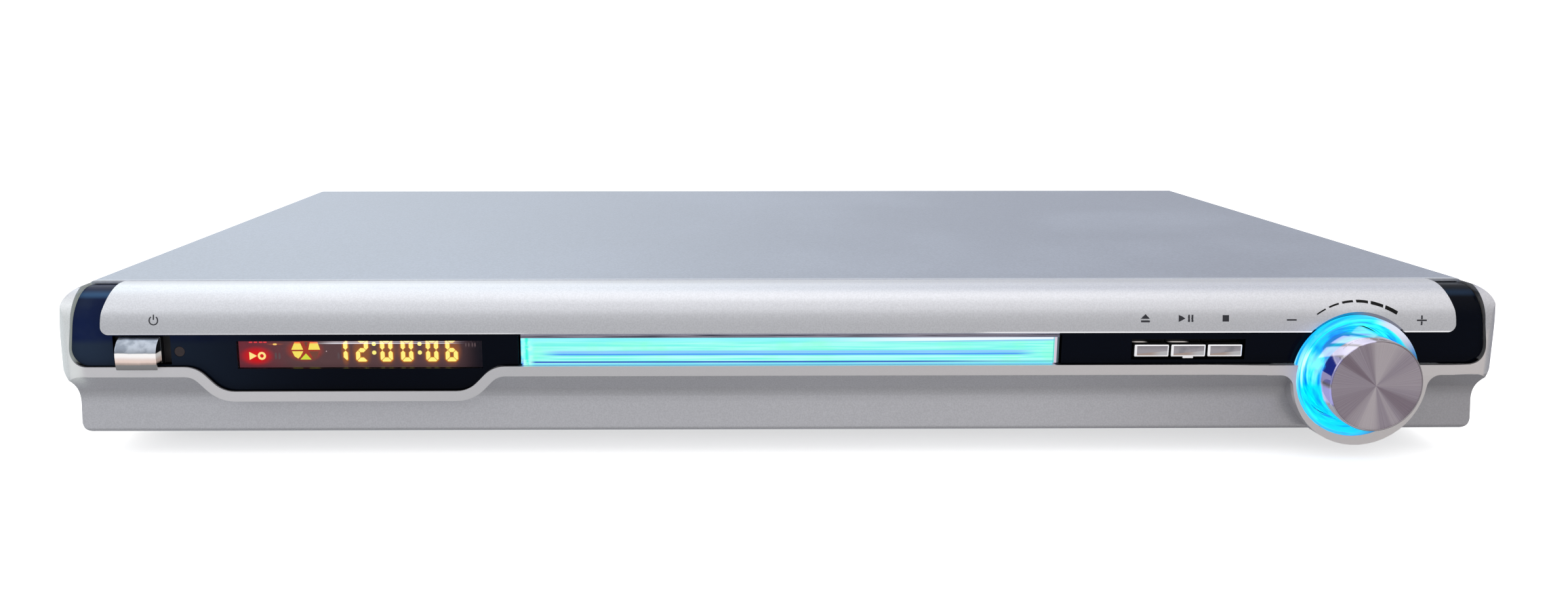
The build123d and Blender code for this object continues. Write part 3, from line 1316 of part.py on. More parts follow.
def pickup_deck():
    """The steel plate on the dampers, with the pickup's window and tabs that hold the rods."""
    y = (DECK_FRONT + PLATE_MARGIN, HINGE_Y - PLATE_MARGIN - 4)
    plate = block(centred(TRAY_X, DECK_HALF - 1), y, (PLATE_Z, PLATE_TOP))
    window_half = ROD_X + ROD_R + 1.5
    plate -= block(
        (TRAY_X - window_half, TRAY_X + SCREW_X + LEAD_COLLAR_R + 1),
        (DISC_Y + SPINDLE_MOTOR_R + 1, ROD_REAR - 4),
        (PLATE_Z - 1, PLATE_TOP + 1),
    )
    for rod_y_range in (centred(ROD_FRONT + 1, 1), centred(ROD_REAR - 1, 1)):
        for side in (-1, 1):
            x = TRAY_X + side * ROD_X
            tab = block(centred(x, ROD_R + 1.5), rod_y_range, (ROD_Z - ROD_R - 1.2, PLATE_Z + 0.6))
            plate += tab
    plate -= rod_z(TURNTABLE_HUB_R + 1, TRAY_X, DISC_Y, (PLATE_Z - 1, PLATE_TOP + 1))
    for side in (-1, 1):
        plate -= rod_y(ROD_R, TRAY_X + side * ROD_X, (ROD_FRONT, ROD_REAR), ROD_Z)
    return plate


def guide_rods():
    return [rod_y(ROD_R, TRAY_X + side * ROD_X, (ROD_FRONT, ROD_REAR), ROD_Z) for side in (-1, 1)]


def spindle_motor():
    """The flat motor under the plate, with the collar that carries the turntable's shaft."""
    z = (PLATE_Z - SPINDLE_MOTOR_H, PLATE_Z)
    motor = rod_z(SPINDLE_MOTOR_R, TRAY_X, DISC_Y, z)
    return motor - rod_z(SPINDLE_R + GEAR_AXLE_FIT, TRAY_X, DISC_Y, (z[0] + 1, z[1] + 1))


def turntable():
    """The disc seat with its centring cone, hub and shaft."""
    outline = [
        (0, PLATE_Z - SPINDLE_MOTOR_H + 1 + GAP),
        (SPINDLE_R, PLATE_Z - SPINDLE_MOTOR_H + 1 + GAP),
        (SPINDLE_R, PLATE_Z + GAP),
        (TURNTABLE_HUB_R, PLATE_Z + GAP),
        (TURNTABLE_HUB_R, SEAT_Z - TURNTABLE_T),
        (TURNTABLE_R, SEAT_Z - TURNTABLE_T),
        (TURNTABLE_R, SEAT_Z),
        (CONE_R, SEAT_Z),
        (CONE_R, SEAT_Z + CONE_H / 3),
        (CONE_R - 2.5, SEAT_Z + CONE_H),
        (0, SEAT_Z + CONE_H),
    ]
    return turned_z(outline, TRAY_X, DISC_Y)


def optical_pickup():
    """The sled: a body with bearing arms on both rods, a screw follower and a well for the lens."""
    y = (LENS_Y - SLED_AHEAD, LENS_Y + SLED_BEHIND)
    top = SLED_Z + SLED_H
    body = block(centred(TRAY_X, SLED_HALF), y, (SLED_Z, top))
    arm_y = centred(LENS_Y + 4, SLED_ARM_Y)
    arms = block(centred(TRAY_X, ROD_X + ROD_R + 1.2), arm_y, (ROD_Z - ROD_R - 1, ROD_Z + ROD_R + 1))
    for side in (-1, 1):
        x = TRAY_X + side * ROD_X
        arms -= rod_y(ROD_R + ROD_FIT, x, (arm_y[0] - 1, arm_y[1] + 1), ROD_Z)
    follower = block(
        (TRAY_X + ROD_X + ROD_R + 1, TRAY_X + SCREW_X - LEAD_R - FIT), centred(LENS_Y + 4, 4), centred(ROD_Z, 1.2)
    )
    well = centred(TRAY_X, LENS_HOLDER / 2 + LENS_WALL)
    well_y = centred(LENS_Y, LENS_HOLDER / 2 + LENS_WALL)
    body += block(well, well_y, (top, LENS_TOP - 1.2))
    inner = LENS_HOLDER / 2 + GAP
    body -= block(centred(TRAY_X, inner), centred(LENS_Y, inner), (LENS_TOP - LENS_HOLDER_T - 2, LENS_TOP + 1))
    return body + arms + follower


def objective_lens():
    """The lens in its square holder, free to focus up and down in the sled's well."""
    half = LENS_HOLDER / 2
    z = (LENS_TOP - LENS_HOLDER_T - 0.6, LENS_TOP - 0.8)
    holder = block(centred(TRAY_X, half), centred(LENS_Y, half), z)
    lens = turned_z([(0, z[0]), (LENS_R, z[0]), (LENS_R, z[1]), (1.6, LENS_TOP - 0.15), (0, LENS_TOP)], TRAY_X, LENS_Y)
    return holder + lens


def sled_motor():
    """The small motor that turns the sled's screw, held under the plate by a saddle."""
    x = TRAY_X + SCREW_X
    y = (ROD_FRONT - 1, ROD_FRONT - 1 + SLED_MOTOR_L)
    can = rod_y(SLED_MOTOR_R, x, y, ROD_Z - 1.6) & block(
        centred(x, SLED_MOTOR_R), y, (DECK_Z - 4, PLATE_Z)
    )
    return can - rod_y(LEAD_R + GEAR_AXLE_FIT, x, (y[1] - 3, y[1] + 1), ROD_Z)


def sled_screw():
    """The lead screw from the sled motor to the rear bearing tab."""
    x = TRAY_X + SCREW_X
    start = ROD_FRONT - 1 + SLED_MOTOR_L - 3 + GAP
    return rod_y(LEAD_R, x, (start, ROD_REAR), ROD_Z)


# Cam slider


def cam_slider():
    """The slider across the deck's front; its two sloping slots raise the deck's pins."""
    y = (CAM_Y - CAM_T / 2, CAM_Y + CAM_T / 2)
    wall = block(centred(TRAY_X, CAM_HALF), y, (CAM_Z, CAM_Z + CAM_H))
    slope = degrees(asin(CAM_DROP / (CAM_TRAVEL**2 + CAM_DROP**2) ** 0.5))
    length = (CAM_TRAVEL**2 + CAM_DROP**2) ** 0.5 + 2 * (CAM_PIN_R + CAM_SLOT_FIT)
    for side in (-1, 1):
        x = TRAY_X + side * CAM_PIN_X - CAM_TRAVEL / 2
        z = CAM_PIN_Z - CAM_DROP / 2
        slot = Pos(x, z) * Rot(0, 0, slope) * SlotOverall(length, 2 * (CAM_PIN_R + CAM_SLOT_FIT))
        wall -= front_prism(slot, (y[0] - 1, y[1] + 1))
    foot_plate = block(centred(TRAY_X, CAM_HALF), (y[0] - CAM_FOOT, y[0]), (CAM_Z, CAM_Z + 1.2))
    return wall + foot_plate


# Boards and sockets


def board(left, right, front):
    rear = REAR_FACE - SHEET - BOARD_REAR_GAP
    plate = block((left, right), (front, rear), (BOARD_Z, BOARD_Z + BOARD_T))
    xs, ys = board_post_places(left, right, front)
    for x in xs:
        for y in ys:
            plate -= rod_z(POST_BORE_R, x, y, (BOARD_Z - 1, BOARD_Z + BOARD_T + 1))
    return plate


def jack_places():
    columns = [VIDEO_JACKS_X - index * JACK_PITCH for index in range(2)]
    columns += [AUDIO_JACKS_X - index * JACK_PITCH for index in range(2)]
    return [(x, z) for x in columns for z in (JACK_ROW_LOW, JACK_ROW_HIGH)]


def phono_jacks(first_x):
    """Two columns of phono sockets on one moulded block behind the rear panel."""
    xs = (first_x - JACK_PITCH, first_x)
    y = (REAR_FACE - SHEET - JACK_BLOCK_D, REAR_FACE - SHEET)
    top = JACK_ROW_HIGH + JACK_R + 2
    jacks = block((xs[0] - JACK_R - 2, xs[1] + JACK_R + 2), y, (BOARD_Z + BOARD_T, top))
    for x in xs:
        for z in (JACK_ROW_LOW, JACK_ROW_HIGH):
            jacks += rod_y(JACK_R, x, (y[1], REAR_FACE + JACK_L), z)
            jacks -= rod_y(JACK_BORE_R, x, (REAR_FACE + JACK_L - JACK_BORE_L, REAR_FACE + JACK_L + 1), z)
    return jacks


def mains_inlet():
    """The two-pin mains inlet: a flanged body with a figure-of-eight recess and its two pins."""
    body = block(
        centred(INLET_X, INLET_W / 2), (REAR_FACE - INLET_D, REAR_FACE + INLET_FLANGE_T), centred(INLET_Z, INLET_H / 2)
    )
    body += block(
        centred(INLET_X, INLET_W / 2 + INLET_FLANGE),
        (REAR_FACE, REAR_FACE + INLET_FLANGE_T),
        centred(INLET_Z, INLET_H / 2 + INLET_FLANGE / 2),
    )
    eight = Pos(INLET_X - INLET_HOLE_STEP, INLET_Z) * Circle(INLET_HOLE_R)
    eight += Pos(INLET_X + INLET_HOLE_STEP, INLET_Z) * Circle(INLET_HOLE_R)
    mouth = REAR_FACE + INLET_FLANGE_T
    body -= front_prism(eight, (mouth - INLET_RECESS, mouth + 1))
    for side in (-1, 1):
        body += rod_y(INLET_PIN_R, INLET_X + side * INLET_PIN_STEP, (mouth - INLET_RECESS - 1, mouth - 3), INLET_Z)
    return body


def transformer():
    """The switching transformer: a taped core on a pin base."""
    x = (POWER_LEFT + POWER_RIGHT) / 2
    low = BOARD_Z + BOARD_T
    core_z = (low + CORE_LIFT, low + CORE_LIFT + CORE_H)
    core = block(centred(x, CORE_W / 2), centred(TRANSFORMER_Y, CORE_D / 2), core_z)
    winding_z = (core_z[0] + WINDING_INSET, core_z[1] - WINDING_INSET)
    winding = block(centred(x, WINDING_W / 2), centred(TRANSFORMER_Y, WINDING_D / 2), winding_z)
    base = block(centred(x, WINDING_W / 2 + WINDING_INSET), centred(TRANSFORMER_Y, WINDING_D / 2), (low, core_z[0]))
    return core + winding + base


def capacitors():
    low = BOARD_Z + BOARD_T
    big_y = TRANSFORMER_Y + BIG_CAN_Y
    cans = [rod_z(BIG_CAN_R, POWER_LEFT + BIG_CAN_INSET, big_y, (low, low + BIG_CAN_H))]
    for index in range(SMALL_CAN_COUNT):
        y = TRANSFORMER_Y + SMALL_CAN_PITCH * (index - SMALL_CAN_COUNT / 2 + 0.5)
        cans.append(rod_z(SMALL_CAN_R, POWER_RIGHT - SMALL_CAN_INSET, y, (low, low + SMALL_CAN_H)))
    return cans


def heat_sink():
    """The finned aluminium plate that stands on the power board."""
    low = BOARD_Z + BOARD_T
    x = POWER_LEFT + SINK_INSET
    z = (low, low + SINK_H)
    sink = block((x, x + SINK_T), centred(TRANSFORMER_Y, SINK_L / 2), z)
    pitch = (SINK_L - 2 * SINK_T) / (SINK_FINS - 1)
    for index in range(SINK_FINS):
        y = TRANSFORMER_Y + pitch * (index - (SINK_FINS - 1) / 2)
        sink += block((x - SINK_FIN_L, x), centred(y, SINK_FIN_T / 2), z)
    return sink


def board_chips():
    """The decoder, memory and driver packages on the main board."""
    low = BOARD_Z + BOARD_T
    middle = (MAIN_LEFT + MAIN_RIGHT) / 2
    chips = []
    for x, y, width, depth in CHIPS:
        place = (centred(middle + x, width / 2), centred(MAIN_FRONT + y, depth / 2))
        chips.append(block(*place, (low, low + CHIP_T)))
    return chips


def ribbon(profile, x):
    """A flat cable along a (Y, Z) run of points, pushed along X."""
    return side_prism(trace(FilletPolyline(*profile, radius=RIBBON_BEND_R), RIBBON_T), x)


def front_ribbon():
    """The flat cable from the control board's back to the main board's front edge."""
    back = FRONT_BOARD_Y + BOARD_T
    low = BOARD_Z + BOARD_T
    run = [
        (back + FIT, RIBBON_Z),
        (back + RIBBON_OUT, RIBBON_Z),
        (back + RIBBON_OUT + RIBBON_RISE, low + RIBBON_RISE),
        (MAIN_FRONT + RIBBON_IN, low + RIBBON_RISE),
        (MAIN_FRONT + RIBBON_IN, low + FIT),
    ]
    return ribbon(run, (MAIN_LEFT + RIBBON_W / 2, MAIN_LEFT + RIBBON_W * 3 / 2))


os.makedirs("parts", exist_ok=True)

save("chassis_pan", chassis_pan())
save("top_cover", top_cover())
save("rear_panel", rear_panel())
save("cover_screws", *cover_screws())
for foot_name, foot_place in foot_places().items():
    save(foot_name, foot(*foot_place))
save("foot_pads", *foot_pads())

save("front_frame", front_frame())
save("black_fascia", black_fascia())
save("visor", visor())
save("display_window", display_window())
save("vfd_display", vfd_display())
save("ir_receiver", ir_receiver())
save("display_board", front_board(DISPLAY_BOARD_LEFT, DISPLAY_BOARD_RIGHT))
save("control_board", front_board(CONTROL_BOARD_LEFT, CONTROL_BOARD_RIGHT))
save("tact_switches", *tact_switches())
save("power_button", power_button())
for key_name, key_place in key_places().items():
    save(key_name, key_button(key_place, key_name == "play_pause_button"))
save("knob_light_ring", knob_light_ring())
save("ring_led_board", ring_led_board())
save("volume_knob", volume_knob())
save("knob_face", knob_face())
save("encoder_shaft", encoder_shaft())
save("volume_encoder", volume_encoder())

save("disc_tray", disc_tray())
save("tray_door", tray_door())
save("door_light_bar", door_light_bar())
save("tray_drive_gear", tray_drive_gear())
save("pulley_gear", pulley_gear())
save("motor_pulley", motor_pulley())
save("drive_belt", drive_belt())
save("loading_motor", loading_motor())
save("loader_frame", loader_frame())
save("clamp_bridge", clamp_bridge())
save("disc_clamp", disc_clamp())

save("tilt_frame", tilt_frame())
save("deck_dampers", *deck_dampers())
save("pickup_deck", pickup_deck())
save("guide_rods", *guide_rods())
save("spindle_motor", spindle_motor())
save("turntable", turntable())
save("optical_pickup", optical_pickup())
save("objective_lens", objective_lens())
save("sled_motor", sled_motor())
save("sled_screw", sled_screw())
save("cam_slider", cam_slider())

save("main_board", board(MAIN_LEFT, MAIN_RIGHT, MAIN_FRONT))
save("power_board", board(POWER_LEFT, POWER_RIGHT, POWER_FRONT))
save("board_chips", *board_chips())
save("transformer", transformer())
save("capacitors", *capacitors())
save("heat_sink", heat_sink())
save("video_jacks", phono_jacks(VIDEO_JACKS_X))
save("audio_jacks", phono_jacks(AUDIO_JACKS_X))
save("mains_inlet", mains_inlet())
save("front_ribbon", front_ribbon())
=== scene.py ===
# Dresses the disc player: paint and plating, lit pieces, printed marks and a plain studio.
from math import cos, pi, radians, sin

import bmesh
import bpy
from mathutils import Matrix, Vector
from mathutils.bvhtree import BVHTree


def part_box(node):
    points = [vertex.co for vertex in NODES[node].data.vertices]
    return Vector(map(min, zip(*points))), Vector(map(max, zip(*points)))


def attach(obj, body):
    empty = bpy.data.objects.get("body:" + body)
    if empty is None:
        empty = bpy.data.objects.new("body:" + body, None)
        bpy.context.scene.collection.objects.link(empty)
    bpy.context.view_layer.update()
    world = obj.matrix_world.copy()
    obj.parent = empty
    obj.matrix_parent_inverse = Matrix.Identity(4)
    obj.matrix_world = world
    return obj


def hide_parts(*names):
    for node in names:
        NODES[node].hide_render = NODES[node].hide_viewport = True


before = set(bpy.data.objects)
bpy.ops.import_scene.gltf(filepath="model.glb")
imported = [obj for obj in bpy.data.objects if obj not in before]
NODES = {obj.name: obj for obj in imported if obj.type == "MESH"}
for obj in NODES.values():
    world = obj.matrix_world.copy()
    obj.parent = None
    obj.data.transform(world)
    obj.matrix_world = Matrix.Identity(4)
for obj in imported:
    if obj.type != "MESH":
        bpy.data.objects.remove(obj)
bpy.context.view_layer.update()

bl_info = {
    "name": "Disc Player Dresser",
    "version": (1, 0, 0),
    "blender": (4, 5, 0),
    "location": "3D View > Sidebar > Disc Player",
    "description": "Finishes, lit pieces and printed marks for a slim disc player",
    "category": "Object",
}

MM = 0.001
BLACK = (0, 0, 0)
KEYS = ("open_close_button", "play_pause_button", "stop_button")

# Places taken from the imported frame, in metres
KNOB_LOW, KNOB_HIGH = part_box("volume_knob")
KNOB_X = (KNOB_LOW.x + KNOB_HIGH.x) / 2
KNOB_Z = (KNOB_LOW.z + KNOB_HIGH.z) / 2
KNOB = Vector((KNOB_X, 0, KNOB_Z))
DOOR_LOW, DOOR_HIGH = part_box("tray_door")
TUBE_LOW, TUBE_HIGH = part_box("vfd_display")
SIGN_Y = TUBE_LOW.y - 0.16 * MM
BACK_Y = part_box("rear_panel")[1].y

# Depths of the keys' parts and of the lip's face, in metres
CAP_BACK = -0.1215
FLANGE_FRONT = -0.1212
FLANGE_BACK = -0.1195
STEM_FRONT = -0.1197
LIP_FACE = -0.1276

# Height of the printed marks' middle and of the digits' foot, in millimetres
MARK_Z = 42.8
DIGIT_FOOT = 26.7


# Numbers and colours in shaders


class Value:
    """A number or colour in a shader; sums and products of values make their own nodes."""

    def __init__(self, tree, socket):
        self.tree = tree
        self.socket = socket

    def maths(self, operation, *others):
        return add(self.tree, "ShaderNodeMath", dict(enumerate((self, *others))), operation=operation)

    def __add__(self, other):
        return self.maths("ADD", other)

    def __sub__(self, other):
        return self.maths("SUBTRACT", other)

    def __rsub__(self, other):
        return add(self.tree, "ShaderNodeMath", {0: other, 1: self}, operation="SUBTRACT")

    def __mul__(self, other):
        return self.maths("MULTIPLY", other)

    def __truediv__(self, other):
        return self.maths("DIVIDE", other)

    def span(self, low, high, to_low=0, to_high=1, smooth=True):
        """Maps the value from one span to another, held at both ends."""
        inputs = {"Value": self, "From Min": low, "From Max": high, "To Min": to_low, "To Max": to_high}
        kind = "SMOOTHSTEP" if smooth else "LINEAR"
        return add(self.tree, "ShaderNodeMapRange", inputs, interpolation_type=kind)

    def mm(self, low, high, *to, **named):
        """The same for a length, with the first span in millimetres."""
        return self.span(low * MM, high * MM, *to, **named)

    def band(self, low, high, soft):
        """One inside a span and nothing outside it, with soft ends."""
        return self.span(low - soft, low + soft) * self.span(high - soft, high + soft, 1, 0)

    def strip(self, low, high, soft):
        """A band for a length, in millimetres."""
        return self.band(low * MM, high * MM, soft * MM)

    def parts(self):
        """The three parts of a vector."""
        made = add(self.tree, "ShaderNodeSeparateXYZ", {0: self})
        return [Value(self.tree, socket) for socket in made.socket.node.outputs]


def plug(tree, value, socket):
    """Links a value to a socket, or sets the socket to a plain number or colour."""
    if isinstance(value, Value):
        tree.links.new(value.socket, socket)
    elif socket.type == "RGBA":
        socket.default_value = (*value[:3], 1)
    else:
        socket.default_value = value


def add(tree, kind, inputs=None, output=0, **settings):
    """Adds one shader node, sets its options and inputs, and gives one of its outputs."""
    node = tree.nodes.new(kind)
    for name, value in settings.items():
        setattr(node, name, value)
    for name, value in (inputs or {}).items():
        plug(tree, value, node.inputs[name])
    return Value(tree, node.outputs[output]) if node.outputs else None


def mix(factor, first, second, blend="MIX"):
    tree = next(value.tree for value in (factor, first, second) if isinstance(value, Value))
    inputs = {0: factor, 6: first, 7: second}
    return add(tree, "ShaderNodeMix", inputs, 2, data_type="RGBA", blend_type=blend)


def layers(tone, *rows):
    """Lays colours over a tone one by one; each row is a mask and a colour."""
    for mask, colour in rows:
        tone = mix(mask, tone, colour)
    return tone


def noise(vector, scale, detail):
    inputs = {"Vector": vector, "Scale": scale, "Detail": detail}
    return add(vector.tree, "ShaderNodeTexNoise", inputs)


def distance(first, second):
    """The length of a right triangle's long side."""
    return (first * first + second * second).maths("SQRT")


def facing(tree):
    """The three parts of the surface's normal."""
    return add(tree, "ShaderNodeNewGeometry", output="Normal").parts()


def linear(red, green, blue):
    """A colour as seen on a screen, 0 to 255, as linear light."""
    values = []
    for value in (red, green, blue):
        value /= 255
        values.append(value / 12.92 if value <= 0.04045 else ((value + 0.055) / 1.055) ** 2.4)
    return (*values, 1)


# Effects that several finishes share


def effect(name, output, **numbers):
    """A new node group with a vector, some numbers and one output; gives its inputs as values."""
    tree = bpy.data.node_groups.new(name, "ShaderNodeTree")
    tree.interface.new_socket(name="Vector", in_out="INPUT", socket_type="NodeSocketVector")
    for socket, value in numbers.items():
        made = tree.interface.new_socket(name=socket, in_out="INPUT", socket_type="NodeSocketFloat")
        made.default_value = value
    tree.interface.new_socket(name=output, in_out="OUTPUT", socket_type="NodeSocketFloat")
    start = tree.nodes.new("NodeGroupInput")
    return [Value(tree, start.outputs[index]) for index in range(len(numbers) + 1)]


def effect_end(value):
    plug(value.tree, value, value.tree.nodes.new("NodeGroupOutput").inputs[0])


def make_effects():
    """Builds the shared effects once."""
    place, scale = effect("Fine grain", "Value", Scale=1500)
    effect_end(noise(place, scale, 3))

    place, scale, amount = effect("Smudges", "Mask", Scale=18, Amount=0.5)
    effect_end(noise(place, scale, 6).span(0.42, 0.72) * amount)

    place, scale = effect("Brushed streaks", "Value", Scale=400)
    stretched = add(place.tree, "ShaderNodeMapping", {"Vector": place, "Scale": (0.02, 1, 1)})
    effect_end(noise(stretched, scale, 4))

    place, scale = effect("Moulded grain", "Height", Scale=900)
    cells = add(place.tree, "ShaderNodeTexVoronoi", {"Vector": place, "Scale": scale}, "Distance")
    effect_end(cells * noise(place, scale, 2))

    place, scale = effect("Zinc spangle", "Value", Scale=90)
    cells = add(place.tree, "ShaderNodeTexVoronoi", {"Vector": place, "Scale": scale}, "Color")
    tint = add(place.tree, "ShaderNodeSeparateColor", {"Color": cells})
    effect_end(tint * 0.6 + noise(place, scale, 8) * 0.4)

    place, amount = effect("Dust on top", "Mask", Amount=0.3)
    level = facing(place.tree)[2].span(0.6, 1) * noise(place, 260, 8).span(0.45, 0.75)
    effect_end(level * amount)


class Finish:
    """A material being made: its node tree, its one shader and the piece's own coordinates."""

    def __init__(self, name, colour, roughness=0.5, **sockets):
        self.material = bpy.data.materials.new(name)
        self.material.use_nodes = True
        self.tree = self.material.node_tree
        self.shader = self.tree.nodes["Principled BSDF"]
        self.place = add(self.tree, "ShaderNodeTexCoord", output="Object")
        self.set("Base Color", colour)
        self.set("Roughness", roughness)
        for socket, value in sockets.items():
            self.set(socket.replace("_", " "), value)
        self.material.diffuse_color = (*colour[:3], 1)

    def set(self, socket, value):
        plug(self.tree, value, self.shader.inputs[socket])

    def source(self, socket):
        """The value that a socket of the shader is linked to."""
        return Value(self.tree, self.shader.inputs[socket].links[0].from_socket)

    def glow(self, colour, strength=1):
        self.set("Emission Color", colour)
        self.set("Emission Strength", strength)

    def effect(self, name, **inputs):
        group = bpy.data.node_groups[name]
        return add(self.tree, "ShaderNodeGroup", {"Vector": self.place, **inputs}, node_tree=group)

    def grain(self, scale):
        return self.effect("Fine grain", Scale=scale)

    def smudges(self, scale, amount):
        return self.effect("Smudges", Scale=scale, Amount=amount)

    def axes(self):
        return self.place.parts()

    def bump(self, height, strength, distance):
        inputs = {"Height": height, "Strength": strength, "Distance": distance}
        self.set("Normal", add(self.tree, "ShaderNodeBump", inputs))

    def vary(self, colour, mask, low, high):
        """The colour made darker and lighter by a mask, between two shares of itself."""
        dark = [value * low for value in colour[:3]]
        light = [min(1, value * high) for value in colour[:3]]
        mixed = mix(mask, dark, light)
        self.set("Base Color", mixed)
        return mixed


def silver_paint(name, colour, roughness, grain):
    """Satin silver lacquer over metal or plastic, with fine flakes and faint smudges."""
    made = Finish(name, colour, roughness, Metallic=0.92)
    flakes = made.grain(grain)
    made.vary(colour, flakes.span(0.3, 0.7), 0.93, 1.05)
    made.set("Roughness", flakes * 0.08 + (made.smudges(14, 0.06) + roughness))
    made.bump(flakes, 0.05, 0.0001)
    return made


def plastic(name, colour, roughness=0.45, grain=1100, depth=0.12, dust=0):
    """Moulded plastic with a fine spark-eroded grain and slightly uneven gloss."""
    made = Finish(name, colour, roughness)
    toned = made.vary(colour, made.grain(grain / 3), 0.88, 1.1)
    if dust:
        made.set("Base Color", mix(made.effect("Dust on top", Amount=dust), toned, (0.35, 0.34, 0.32)))
    made.set("Roughness", made.smudges(30, 0.14) + roughness)
    made.bump(made.effect("Moulded grain", Scale=grain), depth, 0.0001)
    return made


def metal(name, colour, effect, scale, shades, gloss, bump):
    """Bare metal whose tone, gloss and relief follow one effect."""
    made = Finish(name, colour, Metallic=1)
    marks = made.effect(effect, Scale=scale)
    made.vary(colour, marks, *shades)
    made.set("Roughness", marks * gloss[0] + gloss[1])
    made.bump(marks, *bump)
    return made


def zinc_steel(name, scale=110):
    """Zinc-coated sheet steel with its spangle."""
    return metal(name, (0.56, 0.57, 0.58), "Zinc spangle", scale, (0.78, 1.12), (0.14, 0.29), (0.04, 0.0002))


def turned_metal(name, colour, roughness=0.22, scale=700):
    """Plain machined metal with fine tool streaks."""
    gloss = (0.16, roughness - 0.05)
    return metal(name, colour, "Brushed streaks", scale, (0.86, 1.08), gloss, (0.03, 0.0001))


def dress(finish, *names, angle=32, bevel=0):
    """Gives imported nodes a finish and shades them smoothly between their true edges."""
    for name in names:
        node = NODES[name]
        for holder in node.material_slots:
            holder.material = finish.material
        mesh = node.data
        if "custom_normal" in mesh.attributes:
            mesh.attributes.remove(mesh.attributes["custom_normal"])
        mesh.polygons.foreach_set("use_smooth", [True] * len(mesh.polygons))
        node.modifiers.new("Join", "WELD").merge_threshold = 0.00001
        if bevel:
            edge = node.modifiers.new("Edge round", "BEVEL")
            edge.width = bevel
            edge.segments = 2
            edge.limit_method = "ANGLE"
            edge.angle_limit = radians(40)
            edge.use_clamp_overlap = True
            edge.harden_normals = False
        node.modifiers.new("True edges", "EDGE_SPLIT").split_angle = radians(angle)
        node.modifiers.new("Flat faces stay flat", "WEIGHTED_NORMAL").keep_sharp = True


# Short calls for new pieces


def piece(name, bm, body, slot, *finishes, smooth=30):
    """Turns a bmesh into a piece that rides on a body and takes the finishes given; the slot is not used."""
    bmesh.ops.recalc_face_normals(bm, faces=bm.faces)
    mesh = bpy.data.meshes.new(name)
    bm.to_mesh(mesh)
    bm.free()
    for finish in finishes:
        mesh.materials.append(finish.material)
    mesh.polygons.foreach_set("use_smooth", [True] * len(mesh.polygons))
    mesh.set_sharp_from_angle(angle=radians(smooth))
    made = bpy.data.objects.new(name, mesh)
    bpy.context.scene.collection.objects.link(made)
    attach(made, body)
    return made


def moved(bm, made, vec):
    """Shifts the vertices that an extrusion made."""
    verts = [part for part in made["geom"] if isinstance(part, bmesh.types.BMVert)]
    bmesh.ops.translate(bm, verts=verts, vec=vec)


def chain(bm, spots):
    """Vertices at some spots and the edges between them."""
    verts = [bm.verts.new(spot) for spot in spots]
    return verts, [bm.edges.new(pair) for pair in zip(verts, verts[1:])]


def spun(outline, middle, steps):
    """A new bmesh: an outline of (radius, depth) points spun about a line along Y."""
    bm = bmesh.new()
    verts, edges = chain(bm, [(middle.x + radius, depth, middle.z) for radius, depth in outline])
    bmesh.ops.spin(
        bm, geom=verts + edges, cent=middle, axis=(0, 1, 0), angle=2 * pi, steps=steps, use_merge=True
    )
    bmesh.ops.remove_doubles(bm, verts=bm.verts, dist=0.000001)
    return bm


def rounded_box(bm, low, high, radius, segments=3, finish=0):
    """A box with all its edges rounded."""
    size = Vector(high) - Vector(low)
    place = Matrix.Translation((Vector(high) + Vector(low)) / 2) @ Matrix.Diagonal((*size, 1))
    made = bmesh.ops.create_cube(bm, size=1, matrix=place)
    edges = {edge for vert in made["verts"] for edge in vert.link_edges}
    before = set(bm.faces) - {face for vert in made["verts"] for face in vert.link_faces}
    bmesh.ops.bevel(
        bm, geom=list(edges), offset=radius, segments=segments, profile=0.5, affect="EDGES", material=-1
    )
    for face in set(bm.faces) - before:
        face.material_index = finish


def flat_bar(bm, start, end, width):
    """A thin bar between two (X, Z) points in millimetres, in the upright plane Y = 0."""
    a = Vector((start[0] * MM, 0, start[1] * MM))
    b = Vector((end[0] * MM, 0, end[1] * MM))
    along = (b - a).normalized()
    out = Vector((0, -1, 0))
    turn = Matrix((along, along.cross(out), out)).transposed().to_4x4()
    place = Matrix.Translation((a + b) / 2) @ turn @ Matrix.Diagonal(((b - a).length, width * MM, 1, 1))
    bmesh.ops.create_grid(bm, x_segments=6, y_segments=2, size=0.5, matrix=place)


def flat_arc(bm, centre, radius, width, start, end, steps):
    """A thin arc about an (X, Z) centre in millimetres, between two angles from +X."""
    middle = Vector((centre[0] * MM, 0, centre[1] * MM))
    way = Vector((cos(start), 0, sin(start)))
    reaches = [(radius + share * width) * MM for share in (-0.5, 0, 0.5)]
    spots, edges = chain(bm, [middle + reach * way for reach in reaches])
    bmesh.ops.spin(bm, geom=spots + edges, cent=middle, axis=(0, -1, 0), angle=end - start, steps=steps)


def flat_shape(bm, points):
    """A thin polygon of (X, Z) points in millimetres, cut fine enough to lie on a curve."""
    face = bm.faces.new([bm.verts.new((x * MM, 0, z * MM)) for x, z in points])
    made = bmesh.ops.triangulate(bm, faces=[face])
    edges = {edge for one in made["faces"] for edge in one.edges}
    bmesh.ops.subdivide_edges(bm, edges=list(edges), cuts=4, use_grid_fill=True)


